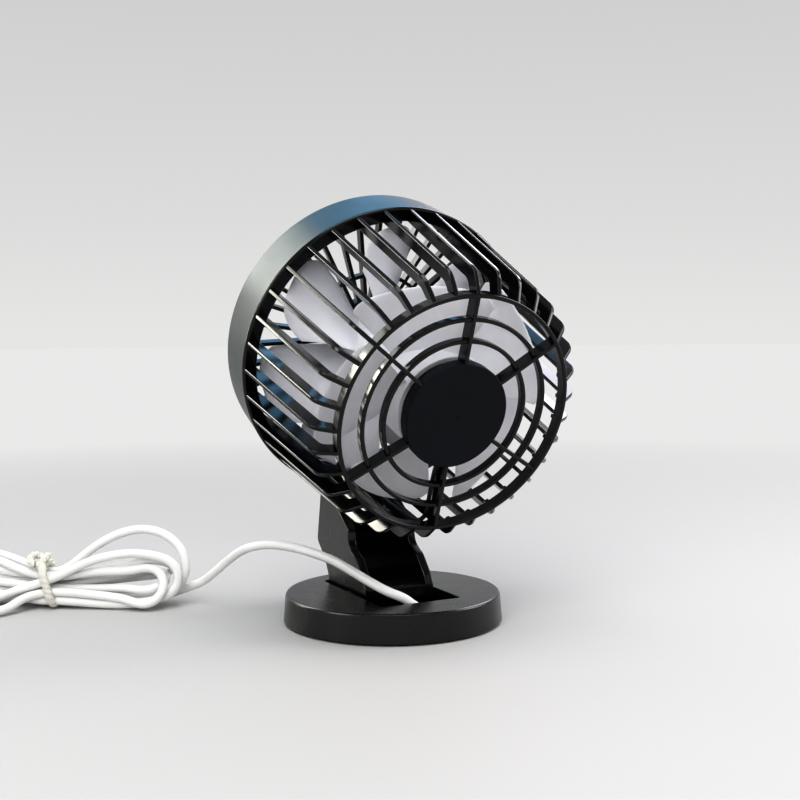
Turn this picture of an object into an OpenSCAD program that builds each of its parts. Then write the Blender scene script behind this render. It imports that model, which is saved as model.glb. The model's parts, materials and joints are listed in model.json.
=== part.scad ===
// A small desk fan: a drum-shaped head with a ribbed rear cage and two blade sets on one shaft.
// The head tilts on a channel-shaped arm, and the arm folds back in a slot of the round base.
// Millimetres. The base stands on z = 0 with its centre at the origin, and the air leaves towards -Y.

/* [Base] */
// Diameter of the base at its foot
base_d = 75; // [70:1:100]
// Diameter of the base at its top rim
base_top_d = 73.4; // [68:0.2:98]
// Height of the base, pad included
base_h = 10.1; // [9.6:0.1:13]
// Wall of the base shell
base_wall = 2; // [1.6:0.1:2.4]
// Rounding of the base's top rim
base_round = 0.9; // [0.4:0.1:1.4]
// Thickness of the soft pad under the base
pad_t = 1.1; // [0.8:0.1:1.6]
// Thickness of the bottom cover above the pad
cover_t = 1; // [0.8:0.1:1.3]
// Thickness of the two steel weights
weight_t = 4; // [2:0.1:4.6]

/* [Arm] */
// Width of the arm
arm_w = 26; // [22:0.5:28]
// Thickness of the arm's two cheeks
cheek_t = 3; // [2.4:0.1:3.6]
// Thickness of the arm's front web
web_t = 2.4; // [1.6:0.1:3]
// How far in front of the base's centre the arm's knee reaches
knee_reach = 35.5; // [33:0.5:38]
// Height of the arm's knee
knee_h = 23.4; // [21:0.2:26]
// Height of the shelf at the back of the arm's foot
shelf_h = 12.3; // [11.4:0.1:13.5]
// How far behind the base's centre the arm's foot ends
foot_back = 5.6; // [4:0.1:7]
// How far in front of the base's centre the arm's foot ends
foot_front = 25.2; // [23:0.1:27]
// How far behind the base's centre the arm's slot ends
slot_back = 21.3; // [20:0.1:24]

/* [Pivots] */
// Diameter of the two pivot pins
pin_d = 3; // [2.4:0.1:3.4]
// How far in front of the base's centre the folding pivot lies
fold_front = 10; // [8:0.5:12]
// Height of the folding pivot
fold_z = 5.8; // [5.6:0.1:6.2]
// How far in front of the base's centre the tilting pivot lies
tilt_front = 27.4; // [25:0.2:30]
// Height of the tilting pivot
tilt_z = 38.3; // [36:0.2:48]
// Drop of the tilting pivot below the head's widest rim
tilt_drop = 6.2; // [6:0.1:8]
// How far the head points up at rest, in degrees
head_tilt = 21; // [10:1:24]

/* [Rear cage] */
// Length of the cage, from its rear ring to the rim that carries the ribs
cage_l = 51.4; // [50:0.2:60]
// Number of ribs
ribs = 34; // [26:2:36]
// Thickness of a rib
rib_t = 1.4; // [1:0.1:2]
// Depth of a rib, measured outwards
rib_depth = 4.2; // [3.4:0.1:4.6]
// Radius of the ribs where they meet the rim
rib_root_r = 51.2; // [50.8:0.1:51.4]
// Taper of the ribs: how much their radius shrinks along the cage
rib_taper = 5.6; // [4:0.1:6.5]
// Rounding of the ribs' shoulder, as a part of the length of the slant behind it
shoulder_round = 0.85; // [0.5:0.05:0.95]
// Slant of the ribs behind the shoulder, in degrees
shoulder_slant = 37; // [30:1:42]
// Outer radius of the rear ring
ring_r = 39.8; // [38.5:0.1:41]
// Depth of the rear ring
ring_depth = 4; // [3:0.1:4.4]
// Thickness of the rings
ring_t = 1.4; // [1:0.1:1.6]
// Outer radius of the outer one of the two middle rings
middle_ring_r = 32; // [30:0.2:34]
// Outer radius of the inner one of the two middle rings
inner_ring_r = 25; // [23:0.2:27]
// Radius of the disc in the middle of the rear grille
disc_r = 17.4; // [17:0.1:18.4]
// Depth of the rear spokes
spoke_depth = 5; // [4:0.1:5.4]

/* [Front band] */
// Outer radius of the rim where the cage meets the band
rim_r = 51.7; // [51.5:0.1:53]
// Thickness of that rim
rim_t = 1.2; // [0.8:0.1:2]
// Length of the band
band_l = 18.5; // [17.5:0.1:24]
// How much narrower the band is at its front
band_taper = 0.8; // [0.2:0.1:1.2]
// Wall of the band
band_wall = 1.5; // [1.2:0.1:1.8]
// Length of the collar of the cage that sits in the band
collar_l = 5; // [3:0.2:7]
// Number of spokes of the front grille
front_spokes = 36; // [24:2:36]
// Thickness of a front spoke
front_spoke_t = 1.3; // [1:0.1:1.5]
// Depth of the front grille
front_depth = 3.4; // [2.6:0.1:4]
// Radius of the cap in the middle of the front grille
front_cap_r = 15; // [13:0.5:18]

/* [Fans and motor] */
// Number of blades on the rear fan
blades = 5; // [4:1:6]
// Number of blades on the front fan, which are of the opposite hand
front_blades = 7; // [5:1:8]
// Thickness of a blade
blade_t = 1.3; // [1:0.1:1.8]
// Outer radius of the rear fan's hub
rear_hub_r = 17; // [16:0.1:18]
// Tip radius of the rear fan at its rear edge
rear_tip_r = 37; // [34:0.2:38]
// Tip radius of the rear fan at its front edge
rear_tip_front_r = 42; // [39:0.2:43]
// Part of a full turn that the rear blades cover together
rear_cover = 0.96; // [0.7:0.01:0.97]
// Outer radius of the front fan's hub, whose motor fits in it
front_hub_r = 13; // [10:0.5:15]
// Tip radius of the front fan
front_tip_r = 44.2; // [42:0.1:45]
// Part of a full turn that the front blades cover together
front_cover = 0.76; // [0.6:0.01:0.9]
// Radius of the rear motor's can
motor_r = 11; // [9:0.1:11.4]
// Length of the rear motor's can
motor_l = 21.5; // [16:0.5:22]
// Diameter of both shafts
shaft_d = 2.3; // [1.8:0.1:3]

/* [Cord] */
// Diameter of the cord
cord_d = 3.2; // [2.6:0.1:3.6]

/* [Hidden] */
$fn = 64;

// Clearances
loose = 0.3;      // between bodies that move past each other
fit = 0.15;       // between parts that drop into each other
pin_play = 0.05;  // of a pin in the part that turns on it
snug = 0.02;      // of a pin, bush or shaft in the part that holds it

// Base
base_r = base_d / 2;
base_top_r = base_top_d / 2;
floor_z = pad_t + cover_t;
skirt_z = 0.6;
ceiling_z = base_h - base_wall;
cavity_r = min(cavity_at(skirt_z), cavity_at(ceiling_z));
pad_r = cavity_at(skirt_z) - 2.2;
slot_side = arm_w / 2 + 1.5;
slot_front = -foot_front - 0.8;
slot_rear = slot_back;
well_wall = 2;
boss_r = 2.6;
boss_spots = [for (a = [22, -22, 154, -154]) (cavity_r - boss_r) * [sin(a), -cos(a)]];
screw_r = 1;
pin_r = pin_d / 2;
pin_boss_l = 2.6;
pin_end = slot_side + well_wall + pin_boss_l;
fold_y = -fold_front;
barrel_r = fold_z - floor_z - 0.4;

// Arm and tilting pivot
tilt_y = -tilt_front;
cheek_in = arm_w / 2 - cheek_t;
eye_r = tilt_drop - 1;
washer_t = 0.9;
lug_side = cheek_in - washer_t - 0.15;
lug_r = 4.4;
tilt_r = rim_r + tilt_drop;
tilt_s = cage_l + 4.1;

// Head: s runs forwards along the axis from the rear ring
rim_inner_r = rib_root_r - rib_depth;
band_s = cage_l + rim_t;
band_r = rim_r - 0.2;
band_inner_r = band_r - band_wall;
band_end = band_s + band_l;
collar_r = band_inner_r - fit;
collar_wall = 1.6;
seat_s = band_end - front_depth - 1.2;
seat_r = band_inner_r - 2;
grille_r = band_inner_r - 0.9;
tip_corner = 3;
spoke_ribs = [0, 5, 11.5, 17, 22.5, 29];
band_screw_spots = [158, 202];
rib_step = 360 / ribs;
front_hub_in = 12.4;

// Motor
can_wall = 0.8;
disc_t = 1.4;
mount_boss_l = 2;
mount_t = 1.6;
mount_s = disc_t + mount_boss_l;
mount_screw_r = 14;
can_s = mount_s + mount_t + 2;
can_end = can_s + motor_l;
bell_t = 2;
nose_l = 1.5;
bush_r = 2.4;
shaft_r = shaft_d / 2;
shaft_s = can_s - bell_t;
hub_open_s = mount_s + mount_t + 2.2;
hub_wall = 1.7;
hub_end_in = can_end + nose_l + 1.6;
hub_end = hub_end_in + hub_wall;
hub_boss_end = hub_end + 4;
rear_blade_s = 8.6;
rear_blade_front_s = 23;
shaft_end = hub_boss_end - 0.3;

// Front motor, in the cup of the front fan's hub
front_blade_s = 48;
front_blade_front_s = band_end - 9.1;
front_hub_s = front_blade_s - 1.4;
front_hub_wall = 1.6;
front_motor_r = front_hub_r - front_hub_wall - 1.2;
front_can_s = front_hub_s + 2.9;
front_can_in = front_motor_r - can_wall;
front_bush_s = seat_s - 2.4;
front_bush_l = 3.6;
front_shaft_end = front_bush_s + front_bush_l - 0.5;

// Cord: hand-set places that the cord passes through, on its way from the base to the hank
cord_r = cord_d / 2;
relief_y = 17.8;
relief_z = 5.2;
lead_route = [
    [-20, 17.8, 5.2], [-14, 17.8, 5.2], [-8, 17.8, 5.3], [-2.5, 18, 6.2], [1.6, 18.3, 8.6], [5, 18.4, 11.4],
    [9.4, 17.2, 13.2], [13.6, 13.6, 15.8], [17.4, 4, 19], [20, -5, 21.2], [23.4, -12, 22.7],
    [27, -18, 23.8], [31.3, -24.4, 24.4], [36, -31.2, 23.9], [41, -39.6, 20.8], [46.6, -50.4, 12.4],
    [50, -55.6, 7.8], [54, -58.2, 6]
];
tail_route = [
    [105.4, -73.8, 5.6], [109.6, -73.2, 5], [113.6, -71.4, 3.6], [117.6, -69, 2.2], [122.6, -67.4, 2.2],
    [127.4, -68.8, 3.4], [131, -70.6, 3.7]
];
hank_place = [52, -53, 0];
hank_turn = -27;
plug_place = [131, -70.6, 3.7];
plug_grip = [22, 12.4, 7.4];
plug_shell = [14, 12, 4.5];
boot_l = 7;

// Helpers -------------------------------------------------------------------

function unit(v) = v / norm(v);

// Radius of the base at a height, outside and in its cavity
function base_at(z) = base_r + (base_top_r - base_r) * z / base_h;
function cavity_at(z) = base_at(z) - base_wall;

// Points of an arc about a centre
function arc(centre, r, from, to, steps = 8) =
    [for (i = [0:steps]) let (a = from + (to - from) * i / steps) centre + r * [cos(a), sin(a)]];

// Points that round the corner b of an outline that comes from a and goes on to c
function corner(a, b, c, r, steps = 5) =
    let (u = unit(a - b), w = unit(c - b), half = acos(u * w) / 2,
         centre = b + unit(u + w) * r / sin(half),
         from = b + u * r / tan(half) - centre, to = b + w * r / tan(half) - centre)
    [for (i = [0:steps]) centre + r * unit(from * (steps - i) + to * i)];

// Points of a smooth line through the places of a route
function smooth(route, steps) =
    let (last = len(route) - 1)
    [for (i = [0:last - 1], j = [0:steps - (i == last - 1 ? 0 : 1)])
        let (t = j / steps, b = route[i], c = route[i + 1],
             a = i > 0 ? route[i - 1] : 2 * b - c, d = i < last - 1 ? route[i + 2] : 2 * c - b)
        0.5 * (2 * b + (c - a) * t + (2 * a - 5 * b + 4 * c - d) * t * t
            + (3 * b - a - 3 * c + d) * t * t * t)];

// A tube swept along a line
module tube(line, r, sides = 8) {
    last = len(line) - 1;
    points = [for (k = [0:last])
        let (t = unit(line[min(k + 1, last)] - line[max(k - 1, 0)]),
             across = unit(cross(t, [0, 0, 1])), up = cross(across, t))
        for (i = [0:sides - 1]) let (a = 360 * i / sides)
            line[k] + r * (cos(a) * across + sin(a) * up)];
    walls = [for (k = [0:last - 1], i = [0:sides - 1])
        let (a = k * sides + i, b = k * sides + (i + 1) % sides)
        for (f = [[a, b, b + sides], [a, b + sides, a + sides]]) f];
    caps = [[for (i = [sides - 1:-1:0]) i], [for (i = [0:sides - 1]) last * sides + i]];
    polyhedron(points, concat(walls, caps));
}

// An outline in the Y-Z plane, extruded across X
module across(width) rotate([90, 0, 90]) linear_extrude(width, center = true) children();

// A round bar along X
module bar(r, half) rotate([0, 90, 0]) cylinder(h = 2 * half, r = r, center = true);

// A ring about Z
module ring(r, bore, from, to) {
    translate([0, 0, from]) difference() {
        cylinder(h = to - from, r = r);
        translate([0, 0, -1]) cylinder(h = to - from + 2, r = bore);
    }
}

// The head's own frame: its axis is Z, the rear ring lies at z = 0 and +Y is up
module in_head() {
    translate([0, tilt_y, tilt_z]) rotate([90 - head_tilt, 0, 0]) translate([0, tilt_r, -tilt_s]) children();
}

// Turns something that stands above the axis by an angle towards +X
module around(angle) rotate([0, 0, -angle]) children();

// Base ----------------------------------------------------------------------

module slot_box(grow, from, to) {
    translate([-slot_side - grow, slot_front - grow, from])
        cube([2 * (slot_side + grow), slot_rear - slot_front + 2 * grow, to - from]);
}

module base_shell() {
    rim = corner([base_at(skirt_z), skirt_z], [base_top_r, base_h], [0, base_h], base_round);
    color("#1b1c1f") difference() {
        union() {
            rotate_extrude() polygon(concat([[base_at(skirt_z), skirt_z]], rim,
                [[0, base_h], [0, ceiling_z], [cavity_at(ceiling_z), ceiling_z], [cavity_at(skirt_z), skirt_z]]));
            slot_box(well_wall, floor_z + 0.1, base_h - base_wall / 2);
            for (p = boss_spots) translate([p.x, p.y, floor_z + 0.1]) cylinder(h = ceiling_z - floor_z, r = boss_r);
            for (side = [-1, 1]) translate([side * (slot_side + well_wall + pin_boss_l / 2), fold_y, 0])
                pin_boss();
        }
        slot_box(0, -1, base_h + 1);
        for (p = boss_spots) translate([p.x, p.y, 0]) cylinder(h = ceiling_z + 0.6, r = screw_r - 0.1, $fn = 24);
        translate([0, fold_y, fold_z]) bar(pin_r + snug, pin_end);
        translate([-slot_side, relief_y, relief_z]) bar(relief_r() + 0.05, well_wall + 1);
    }
}

// A block that carries one end of the folding pin
module pin_boss() {
    translate([-pin_boss_l / 2, -3.4, floor_z + 0.1]) cube([pin_boss_l + 0.6, 6.8, ceiling_z - floor_z]);
}

module base_cover() {
    color("#202124") difference() {
        rotate_extrude() polygon([[0, pad_t], [pad_r, pad_t], [pad_r, skirt_z],
            [cavity_at(skirt_z) - fit, skirt_z], [cavity_at(floor_z) - fit, floor_z], [0, floor_z]]);
        for (p = boss_spots) translate([p.x, p.y, pad_t]) {
            translate([0, 0, -1]) cylinder(h = cover_t + 2, r = screw_r + 0.1, $fn = 24);
            translate([0, 0, -0.01]) cylinder(h = cover_t, r1 = 2.1, r2 = screw_r + 0.1, $fn = 24);
        }
    }
}

module base_weights() {
    color("#8c9096") difference() {
        ring(cavity_r - 0.6, slot_side, floor_z + 0.1, floor_z + 0.1 + weight_t);
        slot_box(well_wall + pin_boss_l + 1.4, 0, base_h);
        translate([-slot_side - 11, relief_y - 5, 0]) cube([9, 10, base_h]);
        for (side = [-1, 1]) translate([-base_r, side > 0 ? slot_rear : slot_front - base_r, 0])
            cube([base_d, base_r, base_h]);
    }
}

module foot_pad() {
    color("#141414") cylinder(h = pad_t, r = pad_r - fit);
}

module base_screws() {
    color("#a9adb3") for (p = boss_spots) translate([p.x, p.y, pad_t]) {
        cylinder(h = cover_t - 0.1, r1 = 2, r2 = screw_r, $fn = 24);
        cylinder(h = ceiling_z - pad_t - 0.4, r = screw_r - 0.15, $fn = 24);
    }
}

module base_pin() {
    color("#c3c7cc") translate([0, fold_y, fold_z]) bar(pin_r, pin_end - 0.2);
}

module fold_washers() {
    gap = slot_side - arm_w / 2;
    color("#dcd9cf") for (side = [-1, 1]) translate([side * (arm_w / 2 + gap / 2), fold_y, fold_z]) difference() {
        bar(barrel_r - 0.1, gap / 2 - 0.15);
        bar(pin_r + snug, gap);
    }
}

// Arm -----------------------------------------------------------------------

// Where the arm's outline bends: (y, z)
foot_front_low = [-foot_front, fold_z + 3.2];
foot_front_high = [-foot_front, base_h + 1.2];
shin_front = [-foot_front - 3.3, base_h + 6.9];
knee = [-knee_reach, knee_h];
eye = [tilt_y, tilt_z];
shoulder_back = [-8, knee_h + 7.6];
knee_back = [-8, knee_h + 1.6];
shin_back = [-1.6, knee_h - 1.8];
heel_high = [foot_back - 1.4, shelf_h + 2.8];
shelf_back = [foot_back, shelf_h - 0.2];
foot_back_low = [foot_back, fold_z + 2.5];

function front_edge(inset) = concat(
    [foot_front_high + [inset, 0]],
    [shin_front + [inset, inset * 0.2]],
    corner(shin_front + [inset, 0], knee + [inset * 1.05, 0], eye + [inset - eye_r, 0], 2.6),
    []
);

function cheek_outline() = concat(
    [foot_front_low], front_edge(0),
    arc(eye, eye_r, 193, 38, 14),
    corner(eye, shoulder_back, knee_back, 3),
    corner(shoulder_back, knee_back, shin_back, 5),
    corner(knee_back, shin_back, heel_high, 5),
    [heel_high, shelf_back, foot_back_low],
    arc([fold_y, fold_z], barrel_r, -58, -122, 6)
);

module arm() {
    web_top = tilt_z - lug_r - 1.4;
    color("#1d1f23") difference() {
        union() {
            for (side = [-1, 1]) translate([side * (arm_w - cheek_t) / 2, 0, 0])
                across(cheek_t) polygon(cheek_outline());
            intersection() {
                across(arm_w - 1) polygon(concat(front_edge(0), [[tilt_y - eye_r + web_t, tilt_z]],
                    [for (i = [len(front_edge(web_t)) - 1:-1:0]) front_edge(web_t)[i]]));
                translate([-arm_w, -base_d, 0]) cube([2 * arm_w, 2 * base_d, web_top]);
            }
            across(arm_w - 1) polygon(concat([foot_front_low, foot_front_high, foot_front_high + [3, shelf_h - base_h]],
                [[foot_back - 2, shelf_h], shelf_back, foot_back_low], arc([fold_y, fold_z], barrel_r, -58, -122, 6)));
        }
        translate([0, fold_y, fold_z]) bar(pin_r + pin_play, arm_w);
        translate([0, tilt_y, tilt_z]) bar(pin_r + snug, cheek_in + cheek_t - 1);
    }
}

module tilt_pin() {
    color("#c3c7cc") translate([0, tilt_y, tilt_z]) bar(pin_r, cheek_in + cheek_t - 1.1);
}

module tilt_washers() {
    color("#dcd9cf") for (side = [-1, 1]) translate([side * (cheek_in - washer_t / 2 - 0.05), tilt_y, tilt_z])
        difference() {
            bar(lug_r - 0.4, washer_t / 2);
            bar(pin_r + snug, washer_t);
        }
}

// Head shell ----------------------------------------------------------------

// One rib in the plane above the axis: (radius, s)
function rib_outline() =
    let (root_out = [rib_root_r, cage_l + 0.2], root_in = [rim_inner_r, cage_l + 0.2],
         slope = rib_taper / cage_l,
         foot_out = [ring_r, 0.5],
         slant = [sin(90 - shoulder_slant), cos(90 - shoulder_slant)],
         reach = (rib_root_r - rib_taper + slope * foot_out.y - foot_out.x) / (slant.x - slope * slant.y),
         shoulder_out = foot_out + reach * slant,
         bend = shoulder_round * norm(shoulder_out - foot_out),
         shoulder_in = shoulder_out + [-rib_depth, rib_depth * tan(45 - shoulder_slant / 2) + 0.4],
         foot_in = [ring_r - ring_t / 2, ring_depth],
         low_in = [ring_r - ring_t / 2, shoulder_in.y - (shoulder_in.x - ring_r + ring_t / 2) * slant.y / slant.x])
    concat([root_in, root_out], corner(root_out, shoulder_out, foot_out, bend),
        [foot_out, [ring_r - ring_t / 2, 0.5]],
        low_in.y > ring_depth ? [low_in] : [foot_in],
        corner([ring_r - ring_t / 2, low_in.y], shoulder_in, root_in, max(0.6, bend - rib_depth + 1.5), 3));

module rear_cage() {
    color("#16171a") {
        difference() {
            union() {
                ring(rim_r, rim_inner_r, cage_l, band_s);
                ring(collar_r, collar_r - collar_wall, cage_l + rim_t / 2, band_s + collar_l);
                for (k = [0:ribs - 1]) around(k * rib_step) across(rib_t) polygon(rib_outline());
                ring(ring_r, ring_r - ring_t, 0, ring_depth);
                ring(middle_ring_r, middle_ring_r - ring_t, 0.8, spoke_depth - 1.4);
                ring(inner_ring_r, inner_ring_r - ring_t, 0.8, spoke_depth - 1.4);
                for (k = spoke_ribs) around(k * 360 / 34) across(rib_t - 0.1)
                    polygon([[disc_r - 0.8, 0.2], [ring_r - ring_t / 2, 0.2], [ring_r - ring_t / 2, spoke_depth],
                        [disc_r - 0.8, spoke_depth]]);
                rotate_extrude() polygon([[0, -0.3], [disc_r - 0.3, -0.3], [disc_r, 0], [disc_r, 4], [disc_r - 1.4, 4],
                    [disc_r - 1.4, disc_t], [0, disc_t]]);
                for (a = [0, 120, 240]) around(a) translate([0, mount_screw_r, disc_t - 0.1])
                    cylinder(h = mount_boss_l + 0.1, r = 1.7, $fn = 24);
            }
            for (a = [0, 120, 240]) around(a) translate([0, mount_screw_r, 0.6]) cylinder(h = 9, r = 0.75, $fn = 24);
            translate([0, 0, -1]) cylinder(h = 1, r = 0.7, $fn = 24);
            translate([rib_t / 2 - 0.05, -disc_r - 1, disc_t]) cube([2, 3.2, 4]);
            for (a = band_screw_spots) around(a) translate([0, collar_r, band_s + collar_l / 2])
                rotate([90, 0, 0]) cylinder(h = 8, r = 0.75, center = true, $fn = 24);
        }
    }
}

module front_band() {
    front_r = band_r - band_taper;
    color("#24323a") difference() {
        union() {
            rotate_extrude() polygon(concat(
                [[band_inner_r, band_s + 0.02], [band_r, band_s + 0.02]],
                corner([band_r, band_s], [front_r, band_end], [seat_r, band_end], 0.6),
                [[grille_r + fit, band_end], [grille_r + fit, seat_s + 0.02], [seat_r, seat_s + 0.02],
                    [seat_r, seat_s - 1.4], [band_inner_r - 0.9, seat_s - 2.4], [band_inner_r - 0.9, band_s + collar_l + 1.4],
                    [band_inner_r, band_s + collar_l + 0.5]]));
            tilt_lug();
        }
        translate([0, -tilt_r, tilt_s]) bar(pin_r + pin_play, arm_w);
        for (a = band_screw_spots) around(a) translate([0, band_r - 0.9, band_s + collar_l / 2])
            rotate([90, 0, 0]) cylinder(h = 8, r = screw_r, center = true, $fn = 24);
    }
}

// The eye under the band that turns on the tilting pin
module tilt_lug() {
    top = -band_r + 1.1;
    across(2 * lug_side) polygon(concat(
        [[top, band_s + 0.5]],
        [for (p = arc([-tilt_r, tilt_s], lug_r, 232, 38, 14)) p],
        [[top - 3.4, tilt_s + lug_r + 0.8], [top, tilt_s + lug_r + 4.6]]));
}

module front_grille() {
    step = 360 / front_spokes;
    color("#1a1b1e") difference() {
        union() {
            ring(grille_r, grille_r - 1.6, seat_s + 0.04, band_end - 0.4);
            for (k = [0:front_spokes - 1]) around(k * step + step / 2 - 2) across(front_spoke_t)
                polygon([[front_hub_in + 0.6, seat_s + 0.6], [grille_r - 0.8, seat_s + 0.6],
                    [grille_r - 0.8, band_end - 0.7], [front_hub_in + 0.6, band_end - 0.7]]);
            ring(24, 22.8, seat_s + 0.8, band_end - 0.9);
            ring(front_cap_r, front_hub_in, seat_s, band_end - 0.4);
            translate([0, 0, seat_s]) cylinder(h = 1.4, r = front_hub_in + 1);
            translate([0, 0, front_bush_s]) cylinder(h = front_bush_l + 0.6, r = 4.6);
            ring(front_can_in - snug, front_can_in - 1.2, seat_s - 1.9, seat_s + 0.4);
        }
        translate([0, 0, front_bush_s - 1]) cylinder(h = front_bush_l + 1, r = bush_r + 0.6 + snug);
        translate([-2, -front_can_in - 1, seat_s - 3]) cube([2.8, 4, 2.9]);
    }
}

module front_cap() {
    color("#2a2c30") rotate_extrude() polygon(concat([[0, band_end - 2.4], [front_hub_in - fit, band_end - 2.4]],
        arc([0, band_end - 24], norm([front_hub_in - fit, 23.2]), 90 - asin((front_hub_in - fit) / norm([front_hub_in - fit, 23.2])), 90, 6)));
}

module cage_screws() {
    color("#a9adb3") for (a = band_screw_spots) around(a) translate([0, band_r - 0.05, band_s + collar_l / 2])
        rotate([90, 0, 0]) {
            cylinder(h = 0.85, r = screw_r - 0.05, $fn = 24);
            cylinder(h = 3, r = 0.7, $fn = 24);
        }
}

// Motor ---------------------------------------------------------------------

module motor_mount() {
    color("#2b2d31") difference() {
        union() {
            translate([0, 0, mount_s + 0.02]) cylinder(h = mount_t, r = disc_r - 1.4 - fit);
            translate([0, 0, mount_s + 0.1]) cylinder(h = mount_t + 10, r = motor_r + 1.3);
        }
        translate([0, 0, can_s - 0.02]) cylinder(h = 20, r = motor_r + snug);
        translate([0, 0, mount_s - 1]) cylinder(h = 20, r = motor_r - 1.4);
        for (a = [0, 120, 240]) around(a) translate([0, mount_screw_r, 0]) cylinder(h = 20, r = 1, $fn = 24);
    }
}

module mount_screws() {
    color("#a9adb3") for (a = [0, 120, 240]) around(a) translate([0, mount_screw_r, mount_s + mount_t + 0.04]) {
        cylinder(h = 1.1, r = 1.5, $fn = 24);
        translate([0, 0, -3.2]) cylinder(h = 3.3, r = 0.7, $fn = 24);
    }
}

module motor_can() {
    color("#b9bdc3") difference() {
        union() {
            translate([0, 0, can_s]) cylinder(h = motor_l, r = motor_r);
            translate([0, 0, can_end - 0.1]) cylinder(h = nose_l + 0.1, r = bush_r + 0.8);
        }
        translate([0, 0, can_s - 1]) cylinder(h = motor_l - can_wall + 1, r = motor_r - can_wall);
        translate([0, 0, can_end - 3]) cylinder(h = 10, r = bush_r + snug);
    }
}

module motor_end_bell() {
    color("#e6e3da") difference() {
        union() {
            translate([0, 0, can_s]) cylinder(h = bell_t, r = motor_r - can_wall - snug);
            translate([0, 0, can_s - 1.8]) cylinder(h = 2, r = bush_r + 1);
        }
        translate([0, 0, can_s - 5]) cylinder(h = 10, r = bush_r + snug);
        for (side = [-1, 1]) translate([side * 6.4 - 0.45, -1.2, can_s - 1]) cube([0.9, 2.4, 6]);
    }
}

module motor_terminals() {
    color("#c9a86a") for (side = [-1, 1]) translate([side * 6.4 - 0.3, -1, can_s - 1.4])
        cube([0.6, 2, 1.4 + bell_t]);
}

module motor_magnets() {
    inside = motor_r - can_wall;
    color("#4a4b50") difference() {
        ring(inside - snug, inside - 2.2, can_s + bell_t + 1, can_end - can_wall - 1);
        for (side = [-1, 1]) translate([-3, side > 0 ? 0 : -motor_r, 0]) cube([6, motor_r, can_end]);
    }
}

module motor_bushes() {
    color("#b08d57") {
        ring(bush_r, shaft_r + pin_play, can_s - 1.6, can_s + bell_t - 0.2);
        ring(bush_r, shaft_r + pin_play, can_end - can_wall - 1, can_end + nose_l - 0.2);
    }
}

// Two-core wire from the motor, down the lowest rear spoke and along the lowest rib to the tilting eye
module motor_wire() {
    x = rib_t / 2 + 0.9;
    color("#101010") tube(smooth([
        [5.6, -2.4, can_s - 1.9], [3.4, -6, mount_s + 0.2], [1.9, -8.8, disc_t + 1], [x, -12, disc_t + 1],
        [x, -disc_r + 1.6, disc_t + 1.1], [x, -disc_r - 1.6, spoke_depth - 0.8],
        [x, -inner_ring_r, spoke_depth - 0.2],
        [x, -middle_ring_r, spoke_depth - 0.2], [x, -ring_r + 2.4, spoke_depth + 0.4],
        [x, -ring_r - 1.6, 9.5], [x, -rim_inner_r + 3.6, 16], [x, -rim_inner_r + 1.4, 30],
        [x, -rim_inner_r - 0.6, 40], [x, -rib_root_r - 0.8, 47.2], [x, -band_r - 1.2, band_s - 0.9]
    ], 2), 0.75);
}

// Front motor ---------------------------------------------------------------

module front_motor_can() {
    color("#b9bdc3") difference() {
        union() {
            ring(front_motor_r, front_can_in, front_can_s, seat_s - 0.04);
            translate([0, 0, front_can_s]) cylinder(h = can_wall, r = front_motor_r - 0.1);
            ring(bush_r + 0.8, bush_r - 0.4, front_can_s, front_can_s + 2.8);
        }
        translate([0, 0, front_can_s - 1]) cylinder(h = 6, r = bush_r + snug);
        translate([-2, -front_motor_r - 1, seat_s - 2.4]) cube([2.8, 4, 4]);
    }
}

module front_motor_magnets() {
    color("#4a4b50") difference() {
        ring(front_can_in - snug, front_can_in - 2, front_can_s + 4, seat_s - 3.4);
        for (side = [-1, 1]) translate([-3, side > 0 ? 0 : -front_motor_r, 0]) cube([6, front_motor_r, band_end]);
    }
}

// The card that carries the front motor's brushes
module front_motor_card() {
    color("#e6e3da") ring(front_can_in - snug, 4.8, seat_s - 3.1, seat_s - 2);
}

module front_bushes() {
    color("#b08d57") {
        ring(bush_r, shaft_r + pin_play, front_can_s + 0.2, front_can_s + 2.7);
        ring(bush_r + 0.6, shaft_r + pin_play, front_bush_s + 0.05, front_bush_s + front_bush_l - 0.1);
    }
}

// Wire from the front motor, behind the lowest front spoke, along the band and out beside the lowest rib
module front_motor_wire() {
    x = rib_t / 2 + 0.9;
    function out(r) = [-r * sin(3), -r * cos(3)];
    function at(r, s) = [out(r).x, out(r).y, s];
    color("#101010") tube(smooth([
        at(front_motor_r - 2.8, seat_s - 1.2), at(front_motor_r - 0.6, seat_s - 1.2),
        at(front_motor_r + 1.8, seat_s - 0.9), at(max(front_motor_r + 3.8, 14), seat_s - 0.9),
        at(max(front_motor_r + 6.8, 17), seat_s - 0.25), at(24, seat_s - 0.2), at(36, seat_s - 0.2), at(44.3, seat_s - 0.4),
        at(grille_r - 2, seat_s - 2.1), at(grille_r - 1.5, seat_s - 5.5), at(collar_r - 2.5, seat_s - 9),
        [-x - 0.3, -rim_inner_r + 0.4, band_s + 1.4], [-x - 0.1, -rim_inner_r + 1, cage_l],
        [-x, -rim_inner_r + 0.4, cage_l - 2.4], [-x, -rim_inner_r - 2, cage_l - 3.6],
        [-x, -rib_root_r - 0.7, cage_l - 3.5], [-x, -band_r - 1.1, cage_l - 1.9], [-x, -band_r - 1.2, band_s - 0.9]
    ], 2), 0.75);
}

// Rotor ---------------------------------------------------------------------

module shaft() {
    color("#d0d3d8") translate([0, 0, shaft_s + 0.4]) cylinder(h = shaft_end - shaft_s - 0.4, r = shaft_r);
}

module winding(outside, from, to) {
    bore = shaft_r + snug;
    color("#9a5f38") difference() {
        union() {
            ring(outside, bore, from + 2.4, to - 1);
            ring(2.6, bore, from, to);
        }
        for (a = [0, 120, 240]) around(a) translate([-0.6, max(outside - 3.6, 3), from]) cube([1.2, 6, to - from]);
    }
}

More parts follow.
